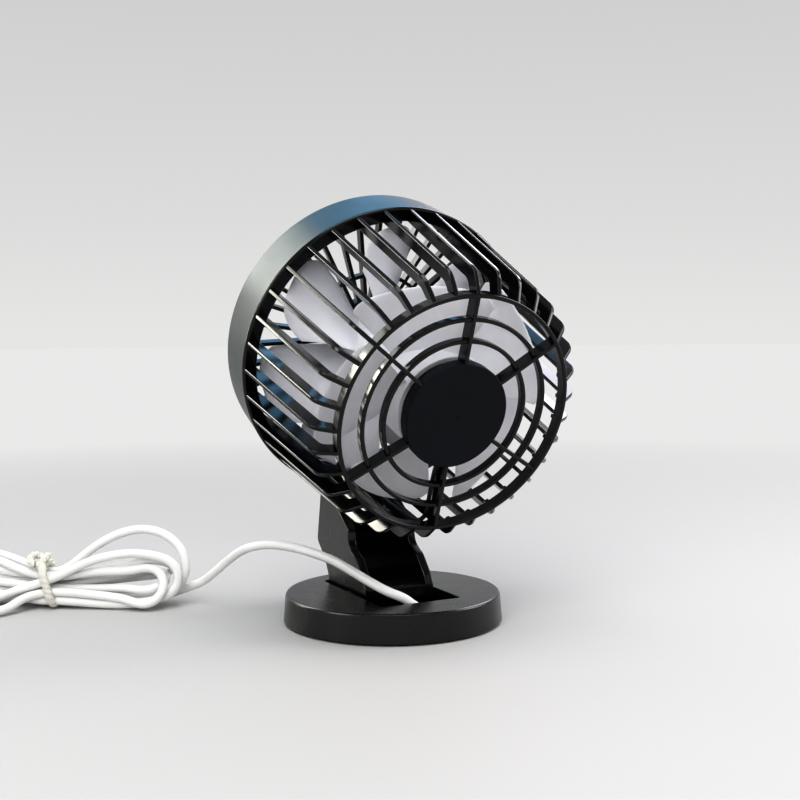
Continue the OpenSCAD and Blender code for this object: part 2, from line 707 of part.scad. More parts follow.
module armature() winding(motor_r - can_wall - 2.6, can_s + bell_t + 1.2, can_end - can_wall - 2);

module front_shaft() {
    color("#d0d3d8") translate([0, 0, front_hub_s - 1.8]) cylinder(h = front_shaft_end - front_hub_s + 1.8, r = shaft_r);
}

module front_armature() winding(front_can_in - 2.4, front_can_s + 3.2, front_bush_s - 0.5);

// One twisted blade. Its near edge faces the back of the fan; u runs along the chord and v outwards
module blade(hub_r, tip_near, tip_far, s_near, s_far, span, curl, bow = 0, lean = 0, swept = 0) {
    rows = 7;
    columns = 6;
    function place(v, u, lift) =
        let (cut = swept > 0 ? 6 * pow(max(0, 1 - 2 * u), 4) + swept * pow(max(0, u / 0.4 - 1.5), 2)
                : tip_corner * pow(abs(2 * u - 1), 10),
             tip = tip_near + (tip_far - tip_near) * pow(u, 3) - cut,
             r = hub_r + (tip - hub_r) * v,
             angle = span * u + bow * v * (1 - v) + lean * (1 - v) * (1 - u),
             s = s_near + (s_far - s_near) * (u + curl * u * (1 - u)) + 0.8 * v * (0.5 - u))
        [r * sin(angle), r * cos(angle), s + lift];
    function id(side, i, j) = side * (rows + 1) * (columns + 1) + i * (columns + 1) + j;
    points = [for (side = [1, -1], i = [0:rows], j = [0:columns]) place(i / rows, j / columns, side * blade_t / 2)];
    sides = [for (i = [0:rows - 1], j = [0:columns - 1]) for (f = [
        [id(0, i, j), id(0, i + 1, j), id(0, i + 1, j + 1)], [id(0, i, j), id(0, i + 1, j + 1), id(0, i, j + 1)],
        [id(1, i, j), id(1, i + 1, j + 1), id(1, i + 1, j)], [id(1, i, j), id(1, i, j + 1), id(1, i + 1, j + 1)]]) f];
    chord_ends = [for (j = [0:columns - 1]) for (f = [
        [id(0, 0, j), id(0, 0, j + 1), id(1, 0, j + 1)], [id(0, 0, j), id(1, 0, j + 1), id(1, 0, j)],
        [id(0, rows, j + 1), id(0, rows, j), id(1, rows, j)],
        [id(0, rows, j + 1), id(1, rows, j), id(1, rows, j + 1)]]) f];
    edges = [for (i = [0:rows - 1]) for (f = [
        [id(0, i + 1, 0), id(0, i, 0), id(1, i, 0)], [id(0, i + 1, 0), id(1, i, 0), id(1, i + 1, 0)],
        [id(0, i, columns), id(0, i + 1, columns), id(1, i + 1, columns)],
        [id(0, i, columns), id(1, i + 1, columns), id(1, i, columns)]]) f];
    polyhedron(points, concat(sides, chord_ends, edges));
}

module rear_fan() {
    color("#d9dbe0") difference() {
        union() {
            rotate_extrude() polygon([[rear_hub_r, hub_open_s], [rear_hub_r, hub_end - 1], [rear_hub_r - 1, hub_end],
                [3.8, hub_end], [3.8, hub_boss_end], [1, hub_boss_end], [1, hub_end_in - 0.6], [3.8, hub_end_in - 0.6],
                [3.8, hub_end_in], [rear_hub_r - hub_wall, hub_end_in], [rear_hub_r - hub_wall, hub_open_s]]);
            for (k = [0:blades - 1]) around(-20 + 360 * k / blades)
                blade(rear_hub_r - 0.5, rear_tip_r, rear_tip_front_r, rear_blade_s, rear_blade_front_s,
                    rear_cover * 360 / blades, 0.25, 1, 8.5);
        }
        translate([0, 0, hub_open_s]) cylinder(h = 50, r = shaft_r + snug);
    }
}

// The front fan turns the other way, so its blades are of the opposite hand
module front_fan() {
    boss_end = front_can_s - 0.3;
    color("#d9dbe0") difference() {
        union() {
            rotate_extrude() polygon([[1, front_hub_s - 2], [3, front_hub_s - 2], [3, front_hub_s],
                [front_hub_r - 1, front_hub_s], [front_hub_r, front_hub_s + 1],
                [front_hub_r, front_blade_front_s + 1], [front_hub_r - front_hub_wall, front_blade_front_s + 1],
                [front_hub_r - front_hub_wall, front_hub_s + 1.8], [3.6, front_hub_s + 1.8], [3.6, boss_end],
                [1, boss_end]]);
            for (k = [0:front_blades - 1]) around(39.8 + 360 * k / front_blades)
                blade(front_hub_r - 0.5, front_tip_r, front_tip_r, front_blade_front_s, front_blade_s,
                    front_cover * 360 / front_blades, 0.25, -6, 0, 9.5);
        }
        translate([0, 0, front_hub_s - 3]) cylinder(h = 50, r = shaft_r + snug);
    }
}

// Cord ----------------------------------------------------------------------

function relief_r() = cord_r + 0.9;

// A bush through the wall of the slot, with a flange inside the slot and a block behind the wall
module strain_relief() {
    color("#e9e9e6") translate([-slot_side, relief_y, relief_z]) difference() {
        union() {
            rotate([0, -90, 0]) cylinder(h = well_wall + 1, r = relief_r());
            rotate([0, 90, 0]) cylinder(h = 0.9, r = relief_r() + 0.5);
            translate([-well_wall - 4.4, -3.2, 2.3 - relief_z]) cube([4.3, 6.4, 5.6]);
        }
        bar(cord_r + pin_play, 12);
    }
}

module cord_lead() {
    color("#f2f2f0") tube(smooth(lead_route, 2), cord_r);
}

module cord_tail() {
    color("#f2f2f0") tube(smooth(tail_route, 2), cord_r);
}

// The tied hank as one closed solid: x runs along it from the end nearer the fan
module in_hank() translate(hank_place) rotate([0, 0, hank_turn]) children();

module cord_hank() {
    side_view = concat(
        arc([12, 9.5], 9.3, 270, 190, 4), arc([21, 12], 17.8, 184, 62, 8),
        [[48, 15.5], [57, 15.5], [72, 19.4]],
        arc([90, 11], 10.8, 80, -90, 8),
        [[62, 0.2], [57, 1.8], [48, 1.8], [42, 0.2]]);
    top_view = concat(arc([11, 0], 8.5, 90, 270, 6), [[48, -6], [57, -6]],
        arc([89, -1], 12, -100, 100, 8), [[57, 6], [48, 6]]);
    color("#f2f2f0") in_hank() intersection() {
        rotate([90, 0, 0]) linear_extrude(40, center = true) polygon(side_view);
        linear_extrude(40) polygon(top_view);
    }
}

module cord_tie() {
    color("#efece0") in_hank() translate([52.5, 0, 0]) {
        across(3) difference() {
            polygon(concat(corner([0, 0.02], [7.6, 0.02], [7.6, 9], 2), corner([7.6, 9], [7.6, 17.2], [0, 17.2], 3),
                corner([0, 17.2], [-7.6, 17.2], [-7.6, 9], 3), corner([-7.6, 9], [-7.6, 0.02], [0, 0.02], 2)));
            translate([-6.1, 1.7]) square([12.2, 13.9]);
        }
        translate([0, 1.4, 18]) sphere(r = 1.9, $fn = 24);
    }
}

// The plug lies on the table; x runs from its boot to its mouth
module in_plug() translate(plug_place) rotate([0, 0, hank_turn]) children();

module usb_plug_grip() {
    half = plug_grip / 2;
    color("#f2f2f0") in_plug() {
        rotate([0, 90, 0]) cylinder(h = boot_l, r1 = cord_r + 0.7, r2 = 3.4);
        translate([boot_l - 0.2, 0, 0]) across_x(plug_grip.x) polygon(concat(
            corner([0, -half.z], [half.y, -half.z], [half.y, 0], 1.6), corner([half.y, 0], [half.y, half.z], [0, half.z], 1.6),
            corner([0, half.z], [-half.y, half.z], [-half.y, 0], 1.6),
            corner([-half.y, 0], [-half.y, -half.z], [0, -half.z], 1.6)));
    }
}

// An outline in the Y-Z plane, extruded from x = 0
module across_x(length) rotate([90, 0, 90]) linear_extrude(length) children();

module usb_plug_shell() {
    wall = 0.35;
    color("#c9ccd1") in_plug() translate([boot_l + plug_grip.x - 0.15, -plug_shell.y / 2, -plug_shell.z / 2]) difference() {
        cube(plug_shell);
        translate([1, wall, wall]) cube([plug_shell.x, plug_shell.y - 2 * wall, plug_shell.z - 2 * wall]);
    }
}

module usb_plug_tongue() {
    color("#f5f5f5") in_plug() translate([boot_l + plug_grip.x + 0.9, -5.5, 0.05]) cube([plug_shell.x - 2.5, 11, 1.8]);
}

// Nodes ---------------------------------------------------------------------

base_shell();
base_cover();
base_weights();
foot_pad();
base_screws();
base_pin();
fold_washers();
strain_relief();
cord_lead();
cord_hank();
cord_tie();
cord_tail();
usb_plug_grip();
usb_plug_shell();
usb_plug_tongue();
arm();
tilt_pin();
tilt_washers();
in_head() rear_cage();
in_head() front_band();
in_head() front_grille();
in_head() front_cap();
in_head() cage_screws();
in_head() motor_mount();
in_head() mount_screws();
in_head() motor_can();
in_head() motor_end_bell();
in_head() motor_terminals();
in_head() motor_magnets();
in_head() motor_bushes();
in_head() motor_wire();
in_head() front_motor_can();
in_head() front_motor_magnets();
in_head() front_motor_card();
in_head() front_bushes();
in_head() front_motor_wire();
in_head() shaft();
in_head() armature();
in_head() rear_fan();
in_head() front_shaft();
in_head() front_armature();
in_head() front_fan();
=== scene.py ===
"""A small desk fan with a tilting drum head, dressed for rendering.

Shapes are worked out in millimetres and go into the scene in metres. The head has its own frame: x runs
across, y up from the shaft, and s forwards along the shaft from the rear ring. The base stands on z = 0."""

import json
from types import SimpleNamespace

import bmesh
import bpy
import numpy as np
from bpy.props import FloatProperty, FloatVectorProperty, IntProperty, PointerProperty
from mathutils import Matrix, Vector


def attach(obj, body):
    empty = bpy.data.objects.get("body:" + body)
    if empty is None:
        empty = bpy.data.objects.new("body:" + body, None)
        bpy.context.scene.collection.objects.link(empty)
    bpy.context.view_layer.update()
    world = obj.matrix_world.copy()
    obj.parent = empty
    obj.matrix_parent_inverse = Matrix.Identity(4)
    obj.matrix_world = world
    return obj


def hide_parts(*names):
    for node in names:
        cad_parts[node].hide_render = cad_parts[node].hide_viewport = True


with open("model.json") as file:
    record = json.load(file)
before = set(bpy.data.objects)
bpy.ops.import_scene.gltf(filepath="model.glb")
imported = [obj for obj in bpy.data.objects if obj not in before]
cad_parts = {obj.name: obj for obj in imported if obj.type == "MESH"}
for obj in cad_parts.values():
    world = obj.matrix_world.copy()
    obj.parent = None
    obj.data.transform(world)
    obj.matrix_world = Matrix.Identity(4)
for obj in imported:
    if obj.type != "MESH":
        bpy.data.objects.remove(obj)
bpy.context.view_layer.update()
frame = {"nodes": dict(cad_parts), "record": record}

bl_info = {
    "name": "Desk Fan",
    "version": (1, 0, 0),
    "blender": (4, 5, 0),
    "location": "View3D > Sidebar > Desk Fan",
    "description": "Builds a small desk fan with a ribbed drum head, a folding arm and a tied lead",
    "category": "Add Mesh",
}

MM = 0.001
UP = np.array([0.0, 0.0, 1.0])
JOINTS = {joint["name"]: joint for joint in frame["record"]["behaviour"]["joints"]}
TILT = np.array(JOINTS["head_tilt"]["pos_m"], float) / MM
FOLD = np.array(JOINTS["arm_fold"]["pos_m"], float) / MM
HUB = np.array(JOINTS["rotor_spin"]["pos_m"], float) / MM
ACROSS = np.array([1.0, 0.0, 0.0])
FORWARD = np.array(JOINTS["rotor_spin"]["axis"], float)
FORWARD = FORWARD / np.linalg.norm(FORWARD)
UPWARD = np.cross(FORWARD, ACROSS)


# --- Settings ---------------------------------------------------------------------------------------------


def length_setting(name, description, default):
    """A length that is kept in metres, with its default given in millimetres."""
    return FloatProperty(name=name, description=description, default=default * MM, unit="LENGTH")


def count_setting(name, description, default, least):
    """A number of like parts."""
    return IntProperty(name=name, description=description, default=default, min=least)


def colour_setting(name, description, default):
    """A colour, with its default as (red, green, blue)."""
    return FloatVectorProperty(
        name=name, description=description, default=(*default, 1), subtype="COLOR", size=4, min=0, max=1)


class FanSizes(bpy.types.PropertyGroup):
    """Sizes of the fan's head, arm, base and lead."""

    cage_length: length_setting("Cage length", "From the rear ring to the rim", 51.4)
    ribs: count_setting("Ribs", "Number of ribs of the rear cage", 34, 12)
    rib_width: length_setting("Rib width", "Thickness of a rib", 1.4)
    rib_depth: length_setting("Rib depth", "Depth of a rib, measured outwards", 4.2)
    rib_radius: length_setting("Rib radius", "Radius of the ribs at the rim", 51.2)
    rib_taper: length_setting("Rib taper", "How much the ribs' radius shrinks", 5.6)
    shoulder: length_setting("Shoulder", "Rounding of the ribs' shoulder", 6.5)
    shoulder_slant: FloatProperty(
        name="Shoulder slant", description="Slant of the ribs behind the shoulder",
        default=float(np.radians(37)), unit="ROTATION")
    ring_radius: length_setting("Rear ring", "Outer radius of the rear ring", 39.8)
    disc_radius: length_setting("Rear disc", "Radius of the middle disc", 17.4)
    rim_radius: length_setting("Rim", "Outer radius of the rim between cage and band", 51.7)
    band_length: length_setting("Band length", "Length of the band", 18.5)
    band_taper: length_setting("Band taper", "How much narrower the band is at its front", 0.8)
    front_spokes: count_setting("Front spokes", "Spokes of the front grille", 36, 12)
    blades: count_setting("Rear blades", "Blades of the rear fan", 5, 3)
    front_blades: count_setting("Front blades", "Blades of the front fan", 7, 3)
    blade_thickness: length_setting("Blade thickness", "Thickness of a blade", 1.3)
    base_radius: length_setting("Base radius", "Radius at the foot", 37.5)
    base_top_radius: length_setting("Base top radius", "Radius at the top rim", 36.7)
    base_height: length_setting("Base height", "Height of the base, pad included", 10.1)
    arm_width: length_setting("Arm width", "Width of the arm", 26)
    cheek: length_setting("Cheek", "Thickness of the arm's cheeks", 3)
    cord: length_setting("Lead", "Diameter of the lead", 3.2)


class FanColours(bpy.types.PropertyGroup):
    """Colours of the fan's finishes."""

    shell: colour_setting("Shell", "Moulded black of the cage, arm and base", (0.0036, 0.0038, 0.0042))
    # The band's black carries a teal tint that is painted reflection of blue light.
    band: colour_setting("Band", "Satin black of the band", (0.0060, 0.0170, 0.0215))
    disc: colour_setting("Disc", "Fine matt black of the rear disc", (0.0065, 0.0078, 0.0110))
    blade: colour_setting("Blade", "Milky plastic of the fans", (0.80, 0.80, 0.84))
    lead: colour_setting("Lead", "Soft white of the lead", (0.74, 0.74, 0.73))
    tie: colour_setting("Tie", "Twisted yarn of the tie", (0.80, 0.785, 0.71))


def setting_names(group):
    """The names of a group's own settings."""
    return [name for name in group.bl_rna.properties.keys() if name not in ("rna_type", "name")]


def sizes():
    """The sizes as they are kept, with their lengths in metres."""
    return bpy.context.scene.fan_sizes


def in_mm():
    """The sizes with their lengths in millimetres."""
    group = sizes()
    found = {name: getattr(group, name) for name in setting_names(group)}
    for name in found:
        if group.bl_rna.properties[name].unit == "LENGTH":
            found[name] /= MM
    return SimpleNamespace(**found)


# --- Shapes: each is (points, faces) of closed shells, in millimetres ---------------------------------------


def arc(centre, radius, start, end, steps):
    """centre + radius (cos a, sin a), with a from start to end in degrees."""
    a = np.radians(np.linspace(start, end, steps))
    return np.array(centre) + radius * np.stack([np.cos(a), np.sin(a)], 1)


def filleted(outline, radius, steps=5):
    """Rounds every corner of a closed outline. With u and w the unit vectors from the corner to its
    neighbours and h half the angle between them, the arc's centre is the corner + unit(u + w) r / sin h, and
    the arc runs from r / tan h along u to r / tan h along w. A radius of 0 leaves a corner as it is."""
    corner = np.asarray(outline, float)
    radius = np.broadcast_to(np.asarray(radius, float), len(corner))[:, None]
    u = np.roll(corner, 1, 0) - corner
    w = np.roll(corner, -1, 0) - corner
    u /= np.linalg.norm(u, axis=1, keepdims=True)
    w /= np.linalg.norm(w, axis=1, keepdims=True)
    half = np.arccos(np.clip((u * w).sum(1, keepdims=True), -0.999999, 0.999999)) / 2
    middle = (u + w) / np.maximum(np.linalg.norm(u + w, axis=1, keepdims=True), 1e-9)
    centre = corner + middle * radius / np.sin(half)
    start = corner + u * radius / np.tan(half) - centre
    end = corner + w * radius / np.tan(half) - centre
    t = np.linspace(0, 1, steps)[None, :, None]
    spoke = start[:, None] * (1 - t) + end[:, None] * t
    length = np.maximum(np.linalg.norm(spoke, axis=2, keepdims=True), 1e-12)
    points = centre[:, None] + spoke / length * np.where(radius > 0, radius, 0)[:, None]
    kept = np.ones(points.shape[:2], bool)
    kept[radius[:, 0] <= 0, 1:] = False
    return points[kept]


def inset(outline, amount):
    """Moves a closed outline inwards: each point goes along the mean of its two edges' normals, over the
    cosine of half the turn between them."""
    p = np.asarray(outline, float)
    edge = np.roll(p, -1, 0) - p
    edge /= np.maximum(np.linalg.norm(edge, axis=1, keepdims=True), 1e-12)
    area = np.sum(p[:, 0] * np.roll(p[:, 1], -1) - np.roll(p[:, 0], -1) * p[:, 1])
    normal = np.stack([-edge[:, 1], edge[:, 0]], 1) * np.sign(area)
    before = np.roll(normal, 1, 0)
    middle = normal + before
    middle /= np.maximum(np.linalg.norm(middle, axis=1, keepdims=True), 1e-9)
    return p + middle * amount / np.maximum((middle * normal).sum(1, keepdims=True), 0.5)


def grid(points, wrap_rows=False, wrap_columns=True):
    """A grid of points (rows, columns, 3) with a four-sided face in each cell."""
    rows, columns = points.shape[:2]
    index = np.arange(rows * columns).reshape(rows, columns)
    if wrap_rows:
        index = np.vstack([index, index[:1]])
    if wrap_columns:
        index = np.hstack([index, index[:, :1]])
    cells = np.stack([index[:-1, :-1], index[1:, :-1], index[1:, 1:], index[:-1, 1:]], -1)
    return points.reshape(-1, 3), [list(c) for c in cells.reshape(-1, 4).tolist()]


def capped(points):
    """A tube-like grid whose first and last rows are closed by one face each."""
    verts, faces = grid(points)
    rows, columns = points.shape[:2]
    faces.append(list(range(columns))[::-1])
    faces.append(list(range((rows - 1) * columns, rows * columns)))
    return verts, faces


def joined(*shapes):
    """Several shapes as one list of points and one of faces."""
    points, faces, count = [], [], 0
    for verts, polygons in shapes:
        points.append(verts)
        faces += [[i + count for i in face] for face in polygons]
        count += len(verts)
    return np.vstack(points), faces


def slab(outline, half, edge, steps=4):
    """A plate with rounded edges, standing on its outline (a, b), with its thickness along c. The layer at
    angle t, from 0 to 90 degrees, is inset by edge (1 - cos t) and lies at c = half - edge + edge sin t."""
    t = np.linspace(0, np.pi / 2, steps)
    shift = edge * (1 - np.cos(t))
    height = half - edge + edge * np.sin(t)
    layers = [np.column_stack([inset(outline, d) if d > 0 else outline, np.full(len(outline), h)])
              for d, h in zip(np.r_[shift[::-1], shift], np.r_[-height[::-1], height])]
    return capped(np.array(layers))


def lathe(profile, steps=96):
    """A profile of (radius, s) turned about the shaft: x = r sin a, y = r cos a. A profile that starts and
    ends on the axis closes at two poles; any other is taken as a closed outline."""
    profile = np.asarray(profile, float)
    on_axis = profile[0, 0] < 1e-9 and profile[-1, 0] < 1e-9
    a = np.linspace(0, 2 * np.pi, steps, endpoint=False)[None, :]
    r, s = profile[:, :1], profile[:, 1:]
    return grid(np.stack([r * np.sin(a), r * np.cos(a), s + 0 * a], -1), wrap_rows=not on_axis)


def hoop(outer, inner, low, high, edge, steps=96):
    """A ring with a rectangular section and rounded edges."""
    return lathe(filleted([[outer, low], [outer, high], [inner, high], [inner, low]], edge, 4), steps)


def turned(shape, angles):
    """One copy of a shape for each angle about the shaft: x' = x cos a + y sin a, y' = y cos a - x sin a."""
    points, faces = shape
    a = np.atleast_1d(angles)[:, None]
    x, y, s = points[:, 0][None], points[:, 1][None], points[:, 2][None]
    copies = np.stack([x * np.cos(a) + y * np.sin(a), y * np.cos(a) - x * np.sin(a), s + 0 * a], -1)
    count = len(points)
    return copies.reshape(-1, 3), [[i + k * count for i in face] for k in range(len(a)) for face in faces]


def fanned(shape, count, start=0.0):
    """Copies of a shape turned evenly about the shaft, the first by the angle start towards +x."""
    return turned(shape, start + 2 * np.pi * np.arange(count) / count)


def upright(shape, across=0.0):
    """A slab set up on edge: its thickness c runs across, and its outline (a, b) along the other two axes."""
    points, faces = shape
    return points[:, [2, 0, 1]] + np.array([across, 0, 0]), faces


def in_head(shape):
    """A shape taken from the head's frame to the fan's."""
    points, faces = shape
    return HUB + points[:, :1] * ACROSS + points[:, 1:2] * UPWARD + points[:, 2:3] * FORWARD, faces


def smooth_line(route, steps):
    """A line through the places of a route, on uniform Catmull-Rom arcs."""
    p = np.asarray(route, float)
    p = np.vstack([2 * p[0] - p[1], p, 2 * p[-1] - p[-2]])
    a, b, c, d = p[:-3, None], p[1:-2, None], p[2:-1, None], p[3:, None]
    t = np.linspace(0, 1, steps, endpoint=False)[None, :, None]
    line = 0.5 * (2 * b + (c - a) * t + (2 * a - 5 * b + 4 * c - d) * t**2 + (3 * b - a - 3 * c + d) * t**3)
    return np.vstack([line.reshape(-1, p.shape[1]), route[-1]])


def even(line, spacing):
    """The same line with its points at even distances."""
    length = np.r_[0, np.cumsum(np.linalg.norm(np.diff(line, axis=0), axis=1))]
    at = np.linspace(0, length[-1], max(2, int(round(length[-1] / spacing)) + 1))
    return np.stack([np.interp(at, length, line[:, i]) for i in range(line.shape[1])], 1)


def swept(line, section, up):
    """A section (a, b) carried along a line: a points across, at right angles to the line and to up, and b
    points away from both. Section may also be one outline for each point of the line."""
    tangent = np.gradient(line, axis=0)
    tangent /= np.linalg.norm(tangent, axis=1, keepdims=True)
    across = np.cross(tangent, np.asarray(up, float))
    across /= np.linalg.norm(across, axis=1, keepdims=True)
    away = np.cross(across, tangent)
    section = np.broadcast_to(section, (len(line),) + np.shape(section)[-2:])
    return line[:, None] + section[..., :1] * across[:, None] + section[..., 1:] * away[:, None]


# --- Putting meshes into the scene --------------------------------------------------------------------------


def piece(name, shape, slot, body, nodes=(), look=None, crease=32.0, weighted=True, loose=False):
    """Makes an object from a shape in millimetres. Doubles are merged, unless the shape is loose, that is
    several closed shells. Faces are turned outwards, and edges sharper than the crease angle stay sharp. The
    finish is the one named look, or else the slot's."""
    points, faces = shape
    mesh = bpy.data.meshes.new(name)
    mesh.from_pydata((np.asarray(points, float) * MM).tolist(), [], faces)
    work = bmesh.new()
    work.from_mesh(mesh)
    if not loose:
        bmesh.ops.remove_doubles(work, verts=work.verts, dist=1e-6)
    bmesh.ops.recalc_face_normals(work, faces=work.faces)
    work.to_mesh(mesh)
    work.free()
    mesh.polygons.foreach_set("use_smooth", np.ones(len(mesh.polygons), bool))
    mesh.set_sharp_from_angle(angle=float(np.radians(crease)))
    made = bpy.data.objects.new(name, mesh)
    if weighted:
        even_normals = made.modifiers.new("Even normals", "WEIGHTED_NORMAL")
        even_normals.keep_sharp = True
        even_normals.weight = 60
    return settled(made, slot, body, nodes, look)


def settled(made, slot, body, nodes, look=None):
    """Links an object to the scene with its finish. It rides on its body and stands for its CAD nodes."""
    made.data.materials.append(finish(look or slot))
    bpy.context.scene.collection.objects.link(made)
    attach(made, body)
    if nodes:
        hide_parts(*nodes)
    return made


# --- Materials ----------------------------------------------------------------------------------------------


def wired(tree, made, inputs):
    """Gives a node its inputs: another node's output is linked, and anything else is set on the socket."""
    for name, value in inputs.items():
        if isinstance(value, bpy.types.NodeSocket):
            tree.links.new(value, made.inputs[name])
        else:
            made.inputs[name].default_value = value
    return made


def node(tree, kind, inputs=None, **settings):
    """A new node of a kind, with its settings and inputs."""
    made = tree.nodes.new("ShaderNode" + kind)
    for name, value in settings.items():
        setattr(made, name, value)
    return wired(tree, made, inputs or {})


def fresh(name):
    """A new material with its node tree, its shader and the object's own coordinates."""
    material = bpy.data.materials.new(name)
    material.use_nodes = True
    tree = material.node_tree
    return material, tree, tree.nodes["Principled BSDF"], node(tree, "TexCoord").outputs["Object"]


def noise(tree, place, scale, detail=2.0, roughness=0.5):
    """Noise from 0 to 1, with scale features to the metre."""
    inputs = {"Vector": place, "Scale": scale, "Detail": detail, "Roughness": roughness}
    return node(tree, "TexNoise", inputs).outputs["Fac"]


def spread(tree, value, low, high, start=0.35, end=0.65):
    """Maps a value's range start..end to low..high."""
    inputs = {"Value": value, "From Min": start, "From Max": end, "To Min": low, "To Max": high}
    return node(tree, "MapRange", inputs).outputs["Result"]


def tints(tree, value, stops):
    """A colour ramp over a value, from stops of (position, colour)."""
    ramp = node(tree, "ValToRGB", {"Fac": value})
    elements = ramp.color_ramp.elements
    elements[0].position, elements[0].color = stops[0]
    elements[1].position, elements[1].color = stops[-1]
    for position, colour in stops[1:-1]:
        elements.new(position).color = colour
    return ramp.outputs["Color"]


def drifting(tree, value, colour, *stops):
    """A colour that grows lighter and darker with a value, from stops of (position, share of the colour)."""
    return tints(tree, value, [(at, (*(share * part for part in colour[:3]), 1.0)) for at, share in stops])


def sum_of(tree, value, share, other):
    """share times a value, plus the other value."""
    return node(tree, "Math", {0: value, 1: share, 2: other}, operation="MULTIPLY_ADD").outputs[0]


def bump(tree, height, strength, distance):
    """A normal from a height, with distance in metres."""
    return node(tree, "Bump", {"Height": height, "Strength": strength, "Distance": distance}).outputs["Normal"]


def moulded(name, colour, rough, grain, depth, drift=0.12, specular=0.5):
    """Moulded plastic: a fine grain in the surface, a slow drift of colour and gloss, and a few faint
    handling marks."""
    material, tree, shader, place = fresh(name)
    slow = noise(tree, place, 45.0, 3.0, 0.55)
    marks = noise(tree, place, 260.0, 4.0, 0.7)
    wired(tree, shader, {
        "Base Color": drifting(tree, slow, colour, (0.35, 1 - drift), (0.65, 1 + drift)),
        "Roughness": spread(tree, sum_of(tree, marks, 0.35, slow), *rough, 0.48, 0.86),
        "Normal": bump(tree, noise(tree, place, grain, 2.0, 0.6), depth, 0.0002),
        "Specular IOR Level": specular})
    return material


def turned_metal(name, colour, rough=0.28):
    """Turned or drawn metal: fine scratches along one direction and a slow drift of gloss."""
    material, tree, shader, place = fresh(name)
    stretch = node(tree, "Mapping", {"Vector": place, "Scale": (900.0, 900.0, 9000.0)}).outputs["Vector"]
    lines = noise(tree, stretch, 1.0, 3.0, 0.6)
    wired(tree, shader, {
        "Base Color": drifting(tree, noise(tree, place, 120.0, 2.0), colour, (0.3, 0.9), (0.7, 1.08)),
        "Roughness": spread(tree, lines, rough * 0.7, rough * 1.4),
        "Normal": bump(tree, lines, 0.12, 0.0001),
        "Metallic": 1.0})
    return material


def milky(name, colour):
    """Milky blade plastic: glossy, with faint flow marks and a little light in its body."""
    material, tree, shader, place = fresh(name)
    slow = noise(tree, place, 60.0, 2.0)
    wired(tree, shader, {
        "Base Color": drifting(tree, slow, colour, (0.3, 0.965), (0.7, 1.03)),
        "Roughness": spread(tree, noise(tree, place, 420.0, 3.0, 0.6), 0.30, 0.36),
        "Normal": bump(tree, slow, 0.02, 0.0002),
        "Specular IOR Level": 0.5,
        "Subsurface Weight": 0.12,
        "Subsurface Radius": (0.002, 0.002, 0.0024)})
    return material


def soft_lead(name, colour):
    """Soft lead sheath: a satin skin with a fine drawn texture and faint greyer stretches where it was
    handled."""
    material, tree, shader, place = fresh(name)
    slow = noise(tree, place, 70.0, 3.0)
    wired(tree, shader, {
        "Base Color": drifting(tree, slow, colour, (0.3, 0.94), (0.7, 1.04)),
        "Roughness": spread(tree, slow, 0.38, 0.5),
        "Normal": bump(tree, noise(tree, place, 1800.0, 2.0), 0.05, 0.0001),
        "Subsurface Weight": 0.15,
        "Subsurface Radius": (0.0015, 0.0015, 0.0015)})
    return material


def twisted_yarn(name, colour):
    """Twisted yarn: strands that wind round the tie, from its own map, with loose fibres between them. The
    colour is darker in the grooves between strands, where the bands are low: painted shade.
    """
    material, tree, shader, place = fresh(name)
    own = node(tree, "UVMap", uv_map="strand").outputs["UV"]
    strands = node(tree, "TexWave", {"Vector": own, "Scale": 1.0, "Distortion": 0.6, "Detail": 2.0},
                   wave_type="BANDS", bands_direction="DIAGONAL").outputs["Fac"]
    fibres = noise(tree, place, 2600.0, 3.0, 0.7)
    wired(tree, shader, {
        # Darker colour in the grooves between strands is painted shade.
        "Base Color": drifting(tree, strands, colour, (0.1, 0.62), (0.55, 1.0), (0.9, 1.1)),
        "Roughness": 0.85,
        "Normal": bump(tree, sum_of(tree, fibres, 0.35, strands), 0.55, 0.0003),
        "Sheen Weight": 0.25})
    return material


def finishes():
    """Makes every finish once and gives the CAD nodes that stay theirs."""
    c = bpy.context.scene.fan_colours
    made = {
        "black_plastic": moulded("Black shell", c.shell, (0.20, 0.30), 1500.0, 0.02, 0.18, specular=0.55),
        "gloss_plastic": moulded("Glossy cage", c.shell, (0.09, 0.17), 1500.0, 0.012, 0.18, specular=0.45),
        # Satin band: its teal tint is painted reflection of blue light.
        "band_plastic": moulded("Satin band", c.band, (0.32, 0.40), 2200.0, 0.02, 0.10, specular=0.7),
        "disc_plastic": moulded("Matt disc", c.disc, (0.50, 0.60), 2600.0, 0.06, 0.14, specular=0.22),
        "blade_plastic": milky("Milky blades", c.blade),
        "white_pvc": soft_lead("White lead", c.lead),
        "tie_cord": twisted_yarn("Yarn tie", c.tie),
        "rubber_pad": moulded("Foot rubber", (0.012, 0.012, 0.012), (0.62, 0.75), 900.0, 0.25),
        "steel": turned_metal("Turned steel", (0.55, 0.56, 0.58)),
        "cast_steel": moulded("Cast ballast", (0.16, 0.165, 0.17), (0.45, 0.6), 700.0, 0.3),
        "plated_steel": turned_metal("Plated steel", (0.66, 0.67, 0.69), 0.18),
        "nylon": moulded("Nylon", (0.62, 0.60, 0.54), (0.4, 0.5), 1500.0, 0.05, 0.05),
        "brass": turned_metal("Brass", (0.62, 0.45, 0.20), 0.3),
        "ferrite": moulded("Ferrite", (0.05, 0.05, 0.055), (0.5, 0.65), 1300.0, 0.2),
        "winding": turned_metal("Enamelled winding", (0.48, 0.20, 0.09), 0.35),
        "wire_pvc": moulded("Wire sheath", (0.010, 0.010, 0.011), (0.32, 0.42), 2000.0, 0.05),
    }
    for row in frame["record"]["subparts"]:
        materials = frame["nodes"][row["node"]].data.materials
        materials.clear()
        materials.append(made[row["material_slot"]])
    return made


MADE = {}


def finish(slot):
    """The finish of a slot. The first call makes them all."""
    if not MADE:
        MADE.update(finishes())
    return MADE[slot]


# --- The stage ----------------------------------------------------------------------------------------------


